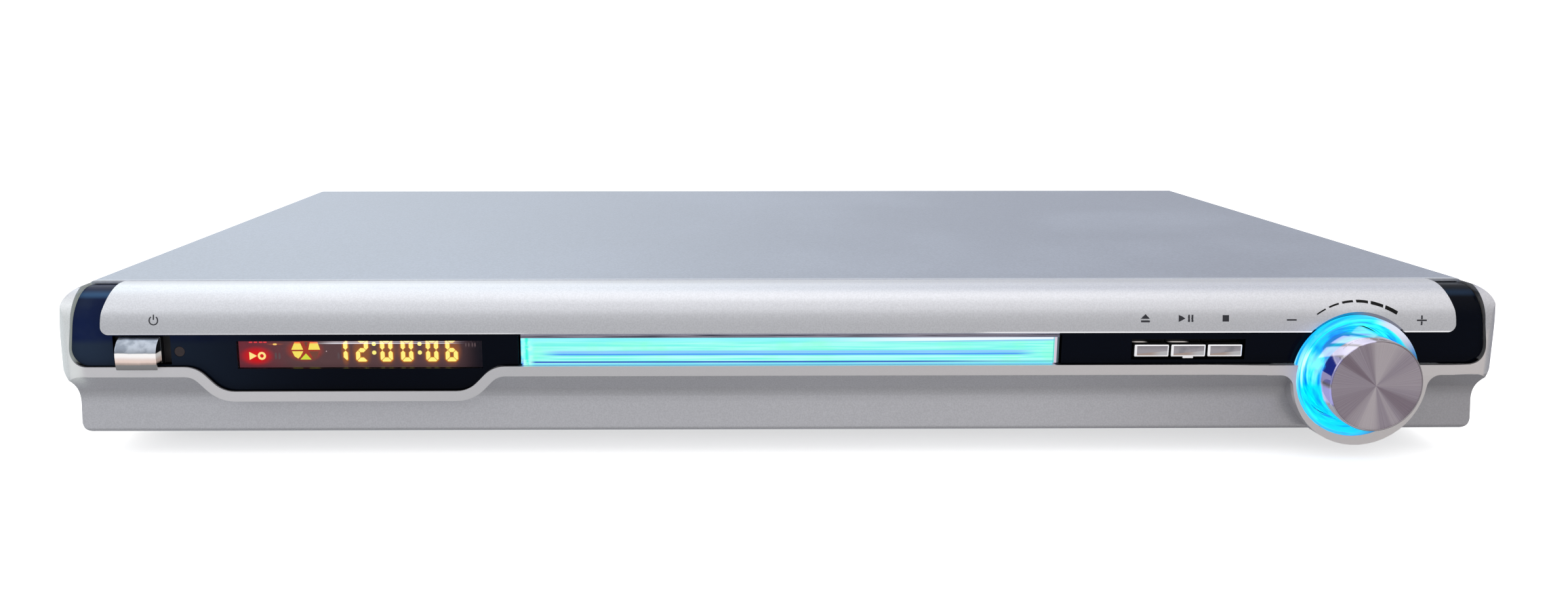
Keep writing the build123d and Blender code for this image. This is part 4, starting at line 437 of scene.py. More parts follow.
def laid_on(bm, surface, lift):
    """Drops a flat drawing along +Y on to a surface, then gives it a little thickness."""
    for vert in bm.verts:
        hit = surface.ray_cast(Vector((vert.co.x, -1, vert.co.z)), Vector((0, 1, 0)))
        if hit[0] is None:
            raise RuntimeError("a printed mark misses the surface that it is printed on")
        vert.co = hit[0] + hit[1] * lift
    made = bmesh.ops.extrude_face_region(bm, geom=list(bm.faces))
    for vert in [part for part in made["geom"] if isinstance(part, bmesh.types.BMVert)]:
        hit = surface.find_nearest(vert.co)
        vert.co = hit[0] - (hit[0] - vert.co).normalized() * lift * 0.2
    bmesh.ops.remove_doubles(bm, verts=bm.verts, dist=0.0000001)


def copy_of(name):
    """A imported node's surface as a bmesh, with its vertices joined."""
    bm = bmesh.new()
    bm.from_mesh(NODES[name].data)
    bmesh.ops.remove_doubles(bm, verts=bm.verts, dist=0.000001)
    return bm


# Settings that a user would change


def colour_setting(name, text, default):
    return bpy.props.FloatVectorProperty(
        name=name, description=text, subtype="COLOR", size=4, default=(*default[:3], 1)
    )


def length_setting(name, text, default):
    return bpy.props.FloatProperty(
        name=name, description=text, unit="LENGTH", subtype="DISTANCE", default=default * MM
    )


class PaintSettings(bpy.types.PropertyGroup):
    """Colours of the silver paint"""

    lid: colour_setting("Lid", "Colour of the cover's paint", (0.66, 0.7, 0.78))
    visor: colour_setting("Visor", "Colour of the upper front", (0.86, 0.87, 0.9))
    ring: colour_setting("Front ring", "Colour of the lower front", (0.74, 0.74, 0.77))
    roughness: bpy.props.FloatProperty(
        name="Roughness", description="How satin the paint is", subtype="FACTOR", min=0, max=1, default=0.28
    )


class LightSettings(bpy.types.PropertyGroup):
    """Colours of the lit pieces and sizes of the digits"""

    door: colour_setting("Door light", "Colour of the lit door", linear(150, 248, 240))
    ring: colour_setting("Ring light", "Colour of the knob's lit ring", linear(0, 200, 250))
    digits: colour_setting("Digits", "Colour of the lit digits", linear(255, 238, 128))
    digit_height: length_setting("Digit height", "Height of a digit", 5.9)
    digit_width: length_setting("Digit width", "Width of a digit", 2.5)
    stroke: length_setting("Stroke", "Width of a digit's strokes", 1.25)


class MarkSettings(bpy.types.PropertyGroup):
    """Colour and thickness of the printed marks"""

    ink: colour_setting("Ink", "Colour of the printed marks", linear(34, 34, 42))
    lift: length_setting("Ink lift", "How far the ink stands proud", 0.05)


class Step:
    """One group of pieces, made by its build method."""

    def execute(self, context):
        self.build(context.scene)
        return {"FINISHED"}


# Studio


def studio_floor(scene):
    """A wide pale table that runs up into a backdrop in one sweep."""
    bm = bmesh.new()
    sweep = [(-8, -3, 0), (-8, 3, 0)]
    for index in range(1, 13):
        turn = radians(90) * index / 12
        sweep.append((-8, 3 + 1.5 * sin(turn), 1.5 - 1.5 * cos(turn)))
    sweep.append((-8, 4.5, 6))
    _, edges = chain(bm, sweep)
    moved(bm, bmesh.ops.extrude_edge_only(bm, edges=edges), (16, 0, 0))
    mesh = bpy.data.meshes.new("studio_floor")
    bm.to_mesh(mesh)
    bm.free()
    mesh.polygons.foreach_set("use_smooth", [True] * len(mesh.polygons))
    table = bpy.data.objects.new("studio_floor", mesh)
    scene.collection.objects.link(table)
    made = Finish("Pale table", (0.9, 0.9, 0.9), 0.9, Emission_Color=(1, 1, 1), Emission_Strength=0.55)
    mesh.materials.append(made.material)
    table.visible_glossy = False


def studio_world(scene):
    """Even white fill, and a soft grey room that only the glossy surfaces see."""
    world = bpy.data.worlds.new("Soft room")
    scene.world = world
    world.use_nodes = True
    tree = world.node_tree
    tree.nodes.clear()
    x, y, z = add(tree, "ShaderNodeTexCoord", output="Generated").parts()
    ramp = add(tree, "ShaderNodeValToRGB", {0: z * 0.5 + 0.5})
    stops = [(0, 0.24), (0.1, 0.3), (0.25, 0.36), (0.39, 0.46)]
    stops += [(0.5, 0.43), (0.65, 0.5), (0.82, 0.73), (1, 0.83)]
    cells = ramp.socket.node.color_ramp.elements
    cells[0].position = stops[0][0]
    cells[1].position = stops[-1][0]
    for spot, _ in stops[1:-1]:
        cells.new(spot)
    for cell, (_, level) in zip(cells, stops):
        cell.color = (level, level, level, 1)
    front = mix(x.span(-0.8, 0.8, smooth=False), (1, 1.03, 1.08), (1, 0.97, 0.98))
    front = mix(1, ramp, front, "MULTIPLY")
    behind = mix(x.span(-0.32, 0.36), (0.61, 0.65, 0.68), (0.325, 0.333, 0.37))
    height = z.span(-0.6, 1, 0.66, 1.5, smooth=False) + z.span(0.4, 0.75, 0, 0.42)
    grey = add(tree, "ShaderNodeCombineXYZ", {0: height, 1: height, 2: height})
    behind = mix(1, behind, grey, "MULTIPLY")
    rays = add(tree, "ShaderNodeLightPath", output="Is Glossy Ray")
    fill = add(tree, "ShaderNodeBackground", {"Color": (1, 1, 1), "Strength": 1})
    tone = mix(y.span(0, 0.35), front, behind)
    room = add(tree, "ShaderNodeBackground", {"Color": tone, "Strength": 1})
    add(tree, "ShaderNodeOutputWorld", {0: add(tree, "ShaderNodeMixShader", {0: rays, 1: fill, 2: room})})


def studio_lights(scene):
    """One broad soft box above and a smaller one at the front left."""
    boxes = [
        ("soft_box_top", (0, -0.25, 1.5), (0, 0, 0), 1.4, 0.9, 1),
        ("soft_box_left", (-1.5, -0.9, 0.9), (-0.1, 0, 0.02), 0.7, 0.7, 1.8),
    ]
    for name, place, target, width, height, power in boxes:
        data = bpy.data.lights.new(name, "AREA")
        data.shape = "RECTANGLE"
        data.size = width
        data.size_y = height
        data.energy = power
        lamp = bpy.data.objects.new(name, data)
        lamp.location = place
        lamp.rotation_euler = (Vector(target) - Vector(place)).to_track_quat("-Z", "Y").to_euler()
        scene.collection.objects.link(lamp)


def studio_camera(scene):
    data = bpy.data.cameras.new("camera")
    data.sensor_width = 36
    data.lens = 29.88
    data.shift_x = 0.048
    data.clip_start = 0.01
    data.clip_end = 50
    made = bpy.data.objects.new("camera", data)
    made.location = (-0.0253, -0.5028, 0.122)
    made.rotation_euler = (radians(90 - 10.97), 0, radians(-0.58))
    scene.collection.objects.link(made)
    scene.camera = made


class DISCPLAYER_OT_studio(Step, bpy.types.Operator):
    """Makes the floor, the lights and the camera"""

    bl_idname = "discplayer.studio"
    bl_label = "Studio"

    def build(self, scene):
        studio_floor(scene)
        studio_world(scene)
        studio_lights(scene)
        studio_camera(scene)
        scene.view_settings.view_transform = "Standard"
        scene.view_settings.look = "None"


# Case


def lid_front_highlight(lid):
    """A painted highlight glows along the cover's front edge where it meets the visor."""
    _, y, z = lid.axes()
    lid.glow(mix(y.mm(-111.6, -112) * z.mm(51.9, 52.2), BLACK, (0.17, 0.17, 0.17)))


def bright_edge(visor):
    """Painted highlights glow on the visor's lowest edge, more so towards the right, and on its flat top."""
    x, _, z = visor.axes()
    far = x.span(-0.2, 0.1, 0.1, 0.42, smooth=False) * (1 - x.strip(-77, 60, 4))
    top = facing(visor.tree)[2].span(0.9, 0.99)
    visor.glow(mix(top * 0.11 + z.mm(38.95, 38.8) * far, BLACK, (1, 1, 1)))


def ring_painted_light(made):
    """Painted light on the ring: a pale warm painted highlight on the lip, painted shade at the lower right
    end, the walls inside the opening made near black as painted shade, a pale blue-grey painted sheen on the
    sill under the door, and painted highlights that glow on the lip's left part and the ring's left
    rounding.
    """
    x, y, z = made.axes()
    normal = facing(made.tree)
    tone = made.source("Base Color")
    # Painted shade: the skirt's lower right end darker
    tone = mix(x.span(0.06, 0.2) * z.mm(25.9, 25.5), tone, mix(1, tone, (0.72, 0.71, 0.71), "MULTIPLY"))
    # Painted highlight: the lip pale and warm, warmer towards the right
    lip = y.mm(-126.9, -127.4) * normal[2].span(-0.45, -0.2)
    tone = mix(lip * 0.85, tone, mix(x.span(-0.1, 0.18), (0.9, 0.89, 0.9), (1, 0.95, 0.93)))
    # Painted shade: the walls inside the opening made near black, found by the masks below
    inward = normal[0] * (x * (1 / 0.215)) + normal[2] * (z * (1 / 0.016) + -2.4)
    reach = distance(x - KNOB_X, z - KNOB_Z)
    here = z.strip(19.5, 50, 0.5) * reach.mm(24, 26) * x.strip(-208.5, 208.5, 0.2)
    wall = inward.span(-0.45, -0.6) * here * y.mm(-127.3, -127)
    # Painted sheen: the sill's top under the door pale blue-grey
    sill = x.band(DOOR_LOW.x, DOOR_HIGH.x, MM) * normal[2].span(0.6, 0.8) * z.strip(28.6, 29.2, 0.1)
    made.set("Base Color", mix(wall, tone, mix(sill, (0.012, 0.012, 0.018), (0.5, 0.55, 0.66))))
    # Painted highlights that glow: the lip's left part and the ring's left rounding
    glow = mix(lip * x.span(-0.07, -0.16), BLACK, (0.06, 0.055, 0.055))
    rim = x.span(-0.205, -0.208) * z.mm(22, 27) * normal[2].span(0.9, 0.5)
    made.glow(mix(rim, glow, (0.2, 0.22, 0.2)))


def lip_blends(ring):
    """Two slim wedges that carry the lip smoothly forward to the knob's proud collar."""
    for name, start, end in (("lip_blend_left", 0.124, 0.1449), ("lip_blend_right", 0.2085, 0.2003)):
        bm = bmesh.new()
        middle = Vector(((start + end) / 2, LIP_FACE, 27.46 * MM))
        size = (abs(end - start), 0.0002, 2.94 * MM, 1)
        bmesh.ops.create_cube(bm, size=1, matrix=Matrix.Translation(middle) @ Matrix.Diagonal(size))
        long = [edge for edge in bm.edges if abs(edge.verts[0].co.x - edge.verts[1].co.x) > 0.001]
        bmesh.ops.subdivide_edges(bm, edges=long, cuts=16)
        for vert in bm.verts:
            if vert.co.y < LIP_FACE:
                share = (vert.co.x - start) / (end - start)
                vert.co.y = -0.12788 - 0.00101 * share * share * (3 - 2 * share)
        piece(name, bm, "case", "front_frame", ring, smooth=40)


def back_paint():
    """Dark grey textured paint on the rear panel."""
    colour = (0.05, 0.052, 0.058)
    made = Finish("Rear paint", colour, 0.55)
    made.vary(colour, made.grain(900), 0.75, 1.3)
    made.bump(made.effect("Moulded grain", Scale=1400), 0.35, 0.0001)
    return made


class DISCPLAYER_OT_case(Step, bpy.types.Operator):
    """Paints the cover, the front ring and the visor, and finishes the pan, feet and screws"""

    bl_idname = "discplayer.case"
    bl_label = "Case"

    def build(self, scene):
        paint = scene.disc_player_paint
        lid = silver_paint("Lid paint", tuple(paint.lid), paint.roughness + 0.06, 1500)
        visor = silver_paint("Visor paint", tuple(paint.visor), paint.roughness, 2200)
        ring = silver_paint("Ring paint", tuple(paint.ring), paint.roughness, 2200)
        lid_front_highlight(lid)
        bright_edge(visor)
        ring_painted_light(ring)
        lip_blends(ring)
        dress(lid, "top_cover")
        dress(visor, "visor")
        dress(ring, "front_frame")
        dress(zinc_steel("Pan steel"), "chassis_pan")
        dress(back_paint(), "rear_panel")
        dress(turned_metal("Screw plating", (0.3, 0.3, 0.32), 0.3), "cover_screws")
        feet = [name for name in NODES if name.startswith("foot_") and name != "foot_pads"]
        dress(plastic("Foot plastic", (0.02, 0.02, 0.022), 0.5, 700, 0.2), *feet)
        dress(plastic("Foot rubber", (0.03, 0.03, 0.03), 0.85, 500, 0.3), "foot_pads")


def screw_heads():
    """The middle of each screw head, found from the loose parts of the screws' mesh."""
    bm = copy_of("cover_screws")
    groups = []
    for vert in bm.verts:
        for group in groups:
            if (group[0] - vert.co).length < 0.012:
                group.append(vert.co.copy())
                break
        else:
            groups.append([vert.co.copy()])
    bm.free()
    places = []
    for group in groups:
        low = Vector([min(co[axis] for co in group) for axis in range(3)])
        high = Vector([max(co[axis] for co in group) for axis in range(3)])
        places.append((low + high) / 2)
    return places


class DISCPLAYER_OT_screws(Step, bpy.types.Operator):
    """Sets a thin dark cross in each screw head on the cover's sides, painted shade for the recess"""

    bl_idname = "discplayer.screws"
    bl_label = "Screw crosses"

    def build(self, scene):
        low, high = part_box("cover_screws")
        bm = bmesh.new()
        for place in screw_heads():
            face = high.x - 0.055 * MM if place.x > 0 else low.x + 0.055 * MM
            middle = Vector((face, place.y, place.z))
            for wide, tall in ((1.9, 0.5), (0.5, 1.9)):
                corner = Vector((0.06, wide / 2, tall / 2)) * MM
                rounded_box(bm, middle - corner, middle + corner, 0.02 * MM, 1)
        # Painted shade: a dark plate stands for the shaded recess of the cross
        finish = turned_metal("Painted recess shade", (0.02, 0.02, 0.022), 0.5)
        piece("screw_crosses", bm, "case", "cover_screws", finish)


# Face


def gloss_black():
    """Gloss black with a painted reflection of a blue room at its left end, a painted paler line along its
    top, painted shade on its inner walls and a painted glow of the ring's light at the knob's bore.
    """
    made = Finish("Piano black", (0.003, 0.004, 0.008), 0.05, Specular_IOR_Level=0.07)
    x, y, z = made.axes()
    # Painted reflection of a blue room, cloudy, greyer below the visor and strongest at the left end
    blue = mix(made.smudges(90, 1), (0.005, 0.011, 0.045), (0.012, 0.02, 0.05))
    blue = mix(z.mm(37.5, 35), blue, (0.014, 0.024, 0.046))
    left = x.span(-0.208, -0.12, 1, 0, smooth=False).maths("POWER", 2.2)
    tone = mix(left, (0.0009, 0.0017, 0.0045), blue)
    # Painted highlight: a paler line along the top bend, stronger to the left
    tone = mix(z.strip(48.9, 50.2, 0.6) * x.span(0, -0.2, 0.25, 1), tone, (0.03, 0.075, 0.16))
    # Painted shade: the walls behind the face darker, and rougher
    inside = y.mm(-125.8, -125.6) * z.mm(41.5, 40.5)
    made.set("Base Color", mix(inside, tone, (0.0006, 0.0006, 0.001)))
    made.set("Roughness", inside * 0.8 + (made.smudges(24, 0.05) + 0.04))
    # Painted glow of the ring's light on the bore's edge at the visor: cyan to the left, grey to the right
    across = x - KNOB_X
    rim = distance(across, z - KNOB_Z).mm(20.4, 20) * z.mm(38.9, 39.4)
    lit = mix(across.mm(-3, 5), linear(22, 140, 196), linear(120, 122, 136))
    made.glow(mix(rim, BLACK, lit))
    return made


def smoked_window():
    """A smoked clear window with a painted glare: a bright streak along its upper edge."""
    made = Finish("Smoked window", (0.006, 0.005, 0.009), 0.03, Specular_IOR_Level=0.3)
    x, _, z = made.axes()
    # Painted glare: the streak glows and is less clear, brightest at its left part
    streak = z.strip(35.44, 35.62, 0.12) * x.span(-0.141, -0.132) * x.span(-0.091, -0.098)
    glow = mix(x.span(-0.128, -0.104), (2, 2, 2.15), (1.3, 1.3, 1.45))
    made.glow(mix(streak, BLACK, mix(x.span(-0.1, -0.093), glow, (0.1, 0.11, 0.2))))
    made.set("Alpha", streak * 0.6 + 0.14)
    made.set("Roughness", made.smudges(40, 0.03) + 0.02)
    made.material.surface_render_method = "BLENDED"
    return made


class DISCPLAYER_OT_face(Step, bpy.types.Operator):
    """Finishes the gloss black face, its display window and the remote eye"""

    bl_idname = "discplayer.face"
    bl_label = "Black face"

    def build(self, scene):
        dress(gloss_black(), "black_fascia")
        dress(smoked_window(), "display_window")
        eye = Finish("Remote eye", (0.02, 0.012, 0.014), 0.12)
        eye.vary((0.02, 0.013, 0.014), eye.grain(600), 0.7, 1.3)
        dress(eye, "ir_receiver")


def mark_power(bm):
    flat_arc(bm, (-184.8, MARK_Z), 1.25, 0.34, radians(125), radians(415), 36)
    flat_bar(bm, (-184.8, MARK_Z + 0.2), (-184.8, MARK_Z + 1.7), 0.34)


def mark_open_close(bm):
    flat_shape(bm, [(106.6, 42.7), (109.2, 42.7), (107.9, 44.1)])
    flat_bar(bm, (106.6, 41.95), (109.2, 41.95), 0.55)


def mark_play_pause(bm):
    flat_shape(bm, [(117.8, 41.75), (119.8, MARK_Z), (117.8, 43.85)])
    for x in (120.85, 121.85):
        flat_bar(bm, (x, 41.75), (x, 43.85), 0.5)


def mark_stop(bm):
    flat_bar(bm, (130.85, MARK_Z), (132.75, MARK_Z), 1.9)


def mark_softer(bm):
    flat_bar(bm, (150, 42.3), (152.9, 42.3), 0.45)


def mark_louder(bm):
    flat_bar(bm, (188.8, 42.1), (191.7, 42.1), 0.45)
    flat_bar(bm, (190.25, 42.4), (190.25, 43.55), 0.45)
    flat_bar(bm, (190.25, 40.65), (190.25, 41.8), 0.45)


def mark_dashes(bm):
    """Six dashes round the knob that grow longer and thicker from softer to louder."""
    for index in range(6):
        middle = radians(119.5 - index * 11.3)
        half = radians(3.9 + 0.2 * index)
        width = 0.36 + 0.034 * (index + 1) ** 1.7
        centre = (KNOB_X / MM - 0.4, KNOB_Z / MM)
        flat_arc(bm, centre, 22.15, width, middle - half, middle + half, 10)


class DISCPLAYER_OT_marks(Step, bpy.types.Operator):
    """Prints the button marks and the volume dashes on the visor"""

    bl_idname = "discplayer.marks"
    bl_label = "Printed marks"

    def build(self, scene):
        marks = scene.disc_player_marks
        ink = Finish("Mark ink", tuple(marks.ink), 0.4)
        ink.vary(tuple(marks.ink), ink.grain(3000), 0.85, 1.15)
        black = Finish("Dash ink", (0.002, 0.002, 0.002), 0.4, Specular_IOR_Level=0.2)
        black.vary((0.002, 0.002, 0.002), black.grain(3000), 0.8, 1.2)
        visor = copy_of("visor")
        surface = BVHTree.FromBMesh(visor)
        visor.free()
        drawings = (mark_power, mark_open_close, mark_play_pause, mark_stop, mark_louder, mark_softer)
        for draw in (*drawings, mark_dashes):
            bm = bmesh.new()
            draw(bm)
            laid_on(bm, surface, marks.lift)
            piece(draw.__name__, bm, "case", "visor", black if draw == mark_dashes else ink)


# Display


def show(name, bm, finish):
    piece(name, bm, "case", "vfd_display", finish)


def phosphor(name, colour, strength):
    """A phosphor that glows, a little uneven like a printed one."""
    made = Finish(name, [value * 0.1 for value in colour[:3]], 0.7)
    dark = [value * 0.85 for value in colour[:3]]
    made.glow(mix(made.grain(2500), dark, colour), strength)
    return made


def halo(made, centre, reach, soft):
    """A mask for a painted halo that fades out round a lit spot; centre and reach are (X, Z) in millimetres.
    """
    x, _, z = made.axes()
    across = (x - centre[0] * MM) / (reach[0] * MM)
    up = (z - centre[1] * MM) / (reach[1] * MM)
    return distance(across, up).span(1 - soft, 1 + soft, 1, 0)


def tube_panel(light):
    """The grid behind the digits with a painted glow of spilt light, red at the left and dim at the right.
    """
    made = Finish("Tube glow", (0.03, 0.015, 0.02), 0.6)
    x, _, z = made.axes()
    tone = mix(x.span(-0.163, -0.146), linear(128, 54, 66), linear(104, 74, 76))
    # Painted halos of spilt light round the play sign, the disc sign and each digit
    rows = [
        (x.span(-0.102, -0.0915), linear(12, 13, 24)),
        (halo(made, (-160.3, 28.5), (3.9, 2.3), 0.55), linear(255, 14, 22)),
        (halo(made, (-145.5, 30.3), (4.9, 3.1), 0.35) * 0.85, linear(206, 66, 38)),
    ]
    for left, strokes in playing_time(light):
        middle, half = (1, 1.2) if strokes == "bc" else (0.5, 2.6)
        middle = left / MM + light.digit_width / MM * middle
        rows.append((halo(made, (middle, 29.8), (half, 3.9), 0.4) * 0.8, linear(176, 104, 56)))
    grid = add(made.tree, "ShaderNodeTexWave", {"Vector": made.place, "Scale": 900}, bands_direction="X")
    # A painted orange halo round the spot; the glow darker towards the bottom
    rows += [
        (z.strip(32.1, 32.3, 0.25) * x.strip(-156.5, -152.5, 1.2) * 0.7, linear(236, 120, 60)),
        (z.mm(26.6, 24.4) * 0.3, linear(40, 28, 34)),
        (made.grain(900) * 0.22, (0.02, 0.012, 0.016)),
        (grid * 0.08, BLACK),
    ]
    made.glow(layers(tone, *rows))
    bm = bmesh.new()
    low = (-166.6 * MM, TUBE_LOW.y - 0.05 * MM, TUBE_LOW.z + 0.6 * MM)
    high = (-89.6 * MM, TUBE_LOW.y - 0.01 * MM, TUBE_HIGH.z - 1.2 * MM)
    rounded_box(bm, low, high, 0.008 * MM, 1)
    show("display_glow", bm, made)


def plate(bm, points, back=0):
    """A thin lit plate of (X, Z) points, in metres, on the tube's front."""
    face = bm.faces.new([bm.verts.new((x, SIGN_Y + back, z)) for x, z in points])
    moved(bm, bmesh.ops.extrude_face_region(bm, geom=[face]), (0, -0.06 * MM, 0))


def stroke(bm, start, end, width, grow=0, centre=None):
    """One stroke as a tube's segment is, mitred at the digit's corners and pointed elsewhere."""
    a = Vector((start[0], 0, start[1]))
    b = Vector((end[0], 0, end[1]))
    middle = Vector((centre[0], 0, centre[1])) if centre else (a + b) / 2
    step = (b - a).normalized()
    along = step * (width / 2 + grow)
    across = Vector((-along.z, 0, along.x))
    flip = across.dot((a + b) / 2 - middle) < 0
    outward = -across if flip else across
    caps = []
    for spot, inward in ((a, 1), (b, -1)):
        tip = spot + inward * (along * 0.2 - step * grow)
        inner = tip + inward * along - outward
        if centre and abs(spot.z - middle.z) > width:
            caps.append([inner, tip - inward * along * 0.5 + outward * 0.5, tip + outward])
        else:
            caps.append([inner, tip, tip + inward * along + outward])
    ring = caps[0] + caps[1][::-1]
    if flip:
        ring.reverse()
    plate(bm, [(spot.x, spot.z) for spot in ring], 0.08 * MM if grow else 0)


def playing_time(light):
    """Left sides and lit strokes of the six digits of a playing time, 12:00:06."""
    shapes = {"1": "bc", "0": "abcdef", "2": "abged", "6": "acdefg"}
    starts = [(-136.1, "1"), (-129.8, "2"), (-122.3, "0"), (-116, "0"), (-108.3, "0"), (-102.3, "6")]
    return [(left * MM + light.stroke / 2, shapes[text]) for left, text in starts]


def seven_strokes(light, grow=0):
    """A new bmesh with the lit strokes of all digits, named a to g."""
    bm = bmesh.new()
    base = DIGIT_FOOT * MM + light.stroke / 2
    low, mid, top = (base + light.digit_height * share for share in (0, 0.5, 1))
    for left, shown in playing_time(light):
        right = left + light.digit_width
        strokes = {
            "a": ((left, top), (right, top)),
            "b": ((right, mid), (right, top)),
            "c": ((right, low), (right, mid)),
            "d": ((left, low), (right, low)),
            "e": ((left, low), (left, mid)),
            "f": ((left, mid), (left, top)),
            "g": ((left, mid), (right, mid)),
        }
        for name in shown:
            stroke(bm, *strokes[name], light.stroke, grow, ((left + right) / 2, mid))
    return bm


def time_digits(light):
    # A painted halo: wider strokes that glow orange behind the digits
    halo = phosphor("Digit halo", linear(222, 128, 44), 1)
    show("display_digit_halo", seven_strokes(light, 0.26 * MM), halo)
    bm = seven_strokes(light)
    half = light.stroke * 0.5
    corner = half * 0.45
    octagon = [(-half, -corner), (-corner, -half), (corner, -half), (half, -corner)]
    octagon += [(half, corner), (corner, half), (-corner, half), (-half, corner)]
    for x in (-124.2 * MM, -110.2 * MM):
        for z in (29.5 * MM, 32.25 * MM):
            plate(bm, [(x + right, z + up) for right, up in octagon])
    show("display_digits", bm, phosphor("Digit phosphor", tuple(light.digits), 1.5))


def disc_sign():
    """A disc cut in six sectors, four of them lit, that shows the disc turning."""
    sectors = {
        "upper_left": ((-4.4, 0.4), (-0.8, 0.4), (-1.7, 2.8), (-3.3, 2.8)),
        "upper_right": ((0.8, 0.4), (4.4, 0.4), (3.7, 2.8), (1.4, 2.8)),
        "lower_left": ((-4.2, -0.1), (-3.5, -1.7), (-2.4, -2.4), (-1.7, -1.7), (-0.8, -0.1)),
        "lower_middle": ((-1.8, -2.7), (1.6, -2.7), (0, -0.8)),
        "lower_right": ((1, -0.1), (2.3, -2.5), (3.4, -1.9), (4.1, -0.1)),
        "upper_middle": ((-0.4, 2.8), (0.2, 1), (0.8, 2.8)),
    }
    yellow = phosphor("Sector yellow", linear(253, 230, 100), 1.35)
    _, _, z = yellow.axes()
    # Painted red glow from the red dashes above, on the sectors' upper tips
    yellow.set("Emission Color", mix(z.mm(32.1, 32.9), yellow.source("Emission Color"), linear(255, 96, 60)))
    green = phosphor("Sector green", linear(226, 238, 70), 1.2)
    # The two unlit sectors glow faintly: painted light
    dim = phosphor("Sector dim", linear(140, 84, 70), 0.9)
    finishes = {"lower_middle": green, "lower_right": dim, "upper_middle": dim}
    for name, points in sectors.items():
        bm = bmesh.new()
        plate(bm, [((x - 145.16) * MM, (z + 30.08) * MM) for x, z in points])
        show("sector_" + name, bm, finishes.get(name, yellow))


def sign_lamps():
    """The lit play sign on its painted red glow, the red dashes, the orange spot and the unlit signs, which
    glow faintly as painted light.
    """
    shapes = [[(-162.5, 27.3), (-160.2, 28.55), (-162.5, 29.8)]]
    turns = [2 * pi * step / 24 for step in range(25)]
    outer, inner = (
        [(-158.7 + reach * cos(turn), 28.55 + reach * sin(turn)) for turn in turns] for reach in (1.25, 0.6)
    )
    for step in range(24):
        shapes.append((outer[step], outer[step + 1], inner[step + 1], inner[step]))
    bm = bmesh.new()
    for shape in shapes:
        plate(bm, [(x * MM, z * MM) for x, z in shape])
    show("display_play_sign", bm, phosphor("Play sign", linear(255, 226, 140), 1.5))
    dashes = [(left, 32.85, left + 1.2, 32.85, 0.34) for left in (-162.5, -161, -159.4, -158.1)]
    # The unlit signs glow faintly: painted light
    unlit = [(x, 27.4, x, 29.6, 0.55) for x in (-154.4, -153.3, -135.2)]
    unlit += [(x, 31.2, x, 32.6, 0.4) for x in (-96, -95.1, -94, -93.2)]
    signs = [
        ("display_dashes", "Dash red", (255, 70, 76), 1.3, dashes),
        ("display_spot", "Spot orange", (255, 206, 110), 1.5, [(-155.2, 32.2, -153.8, 32.2, 0.5)]),
        ("display_unlit", "Unlit sign", (120, 100, 104), 0.8, unlit),
        ("display_point", "Point white", (226, 196, 200), 1.1, [(-139.1, 29.95, -138.6, 29.95, 0.4)]),
    ]
    for name, label, colour, strength, rows in signs:
        bm = bmesh.new()
        for row in rows:
            x, z, to_x, to_z, width = (number * MM for number in row)
            stroke(bm, (x, z), (to_x, to_z), width)
        show(name, bm, phosphor(label, linear(*colour), strength))


class DISCPLAYER_OT_display(Step, bpy.types.Operator):
    """Lights the display tube: time digits, disc sign and small lamps behind its glass"""

    bl_idname = "discplayer.display"
    bl_label = "Display"

    def build(self, scene):
        light = scene.disc_player_light
        glass = Finish("Tube glass", (0.02, 0.018, 0.02), 0.08)
        glass.vary((0.02, 0.018, 0.022), glass.grain(400), 0.7, 1.4)
        dress(glass, "vfd_display")
        tube_panel(light)
        time_digits(light)
        disc_sign()
        sign_lamps()


# Buttons


def key_chrome():
    """Bright plating with a painted white glow on its front, uneven in faint patches, as from the pale table
    under it; painted shade on its sides and two painted glints on its tops.
    """
    colour = (1, 0.99, 1)
    made = Finish("Key chrome", colour, 0.1)
    normal = facing(made.tree)
    # Painted shade: the sides are near black, dull and not metal
    side = normal[1].span(-0.45, -0.3)
    made.set("Base Color", mix(side, colour, (0.004, 0.004, 0.005)))
    made.set("Metallic", 1 - side)
    made.set("Roughness", side * 0.75 + 0.15)
    x, y, _ = made.axes()
    # Painted glints on the tops of the first two caps
    top = normal[2].span(0.6, 0.8) * y.mm(-123.6, -122.8)
    shine = top * (x.strip(106.3, 109.6, 1) + x.strip(117.2, 122, 1))
    # Painted highlight: the front glows white, uneven in faint patches; the glints glow brighter
    glow = mix(made.smudges(160, 0.1), (1, 0.99, 1), (0.7, 0.7, 0.74))
    made.glow(mix(side, glow, mix(shine, BLACK, (1.3, 1.2, 1.15))), 0.4)
    return made


def key_black():
    """Black plastic behind the caps, its black also painted shade of the slot, with two painted glints of
    the plated caps on it.
    """
    made = plastic("Button black", (0.002, 0.002, 0.003), 0.6, 900, 0.1)
    x, _, z = made.axes()
    # Painted glints: two slanting streaks where the plated caps are mirrored
    line = (z - (x * -0.06 + 0.0428)).strip(-0.05, 0.15, 0.2)
    glint = x.strip(106, 110.3, 0.7) * line + x.strip(116.8, 121.9, 0.7) * line
    made.glow(mix(glint, BLACK, (0.55, 0.46, 0.42)))
    return made


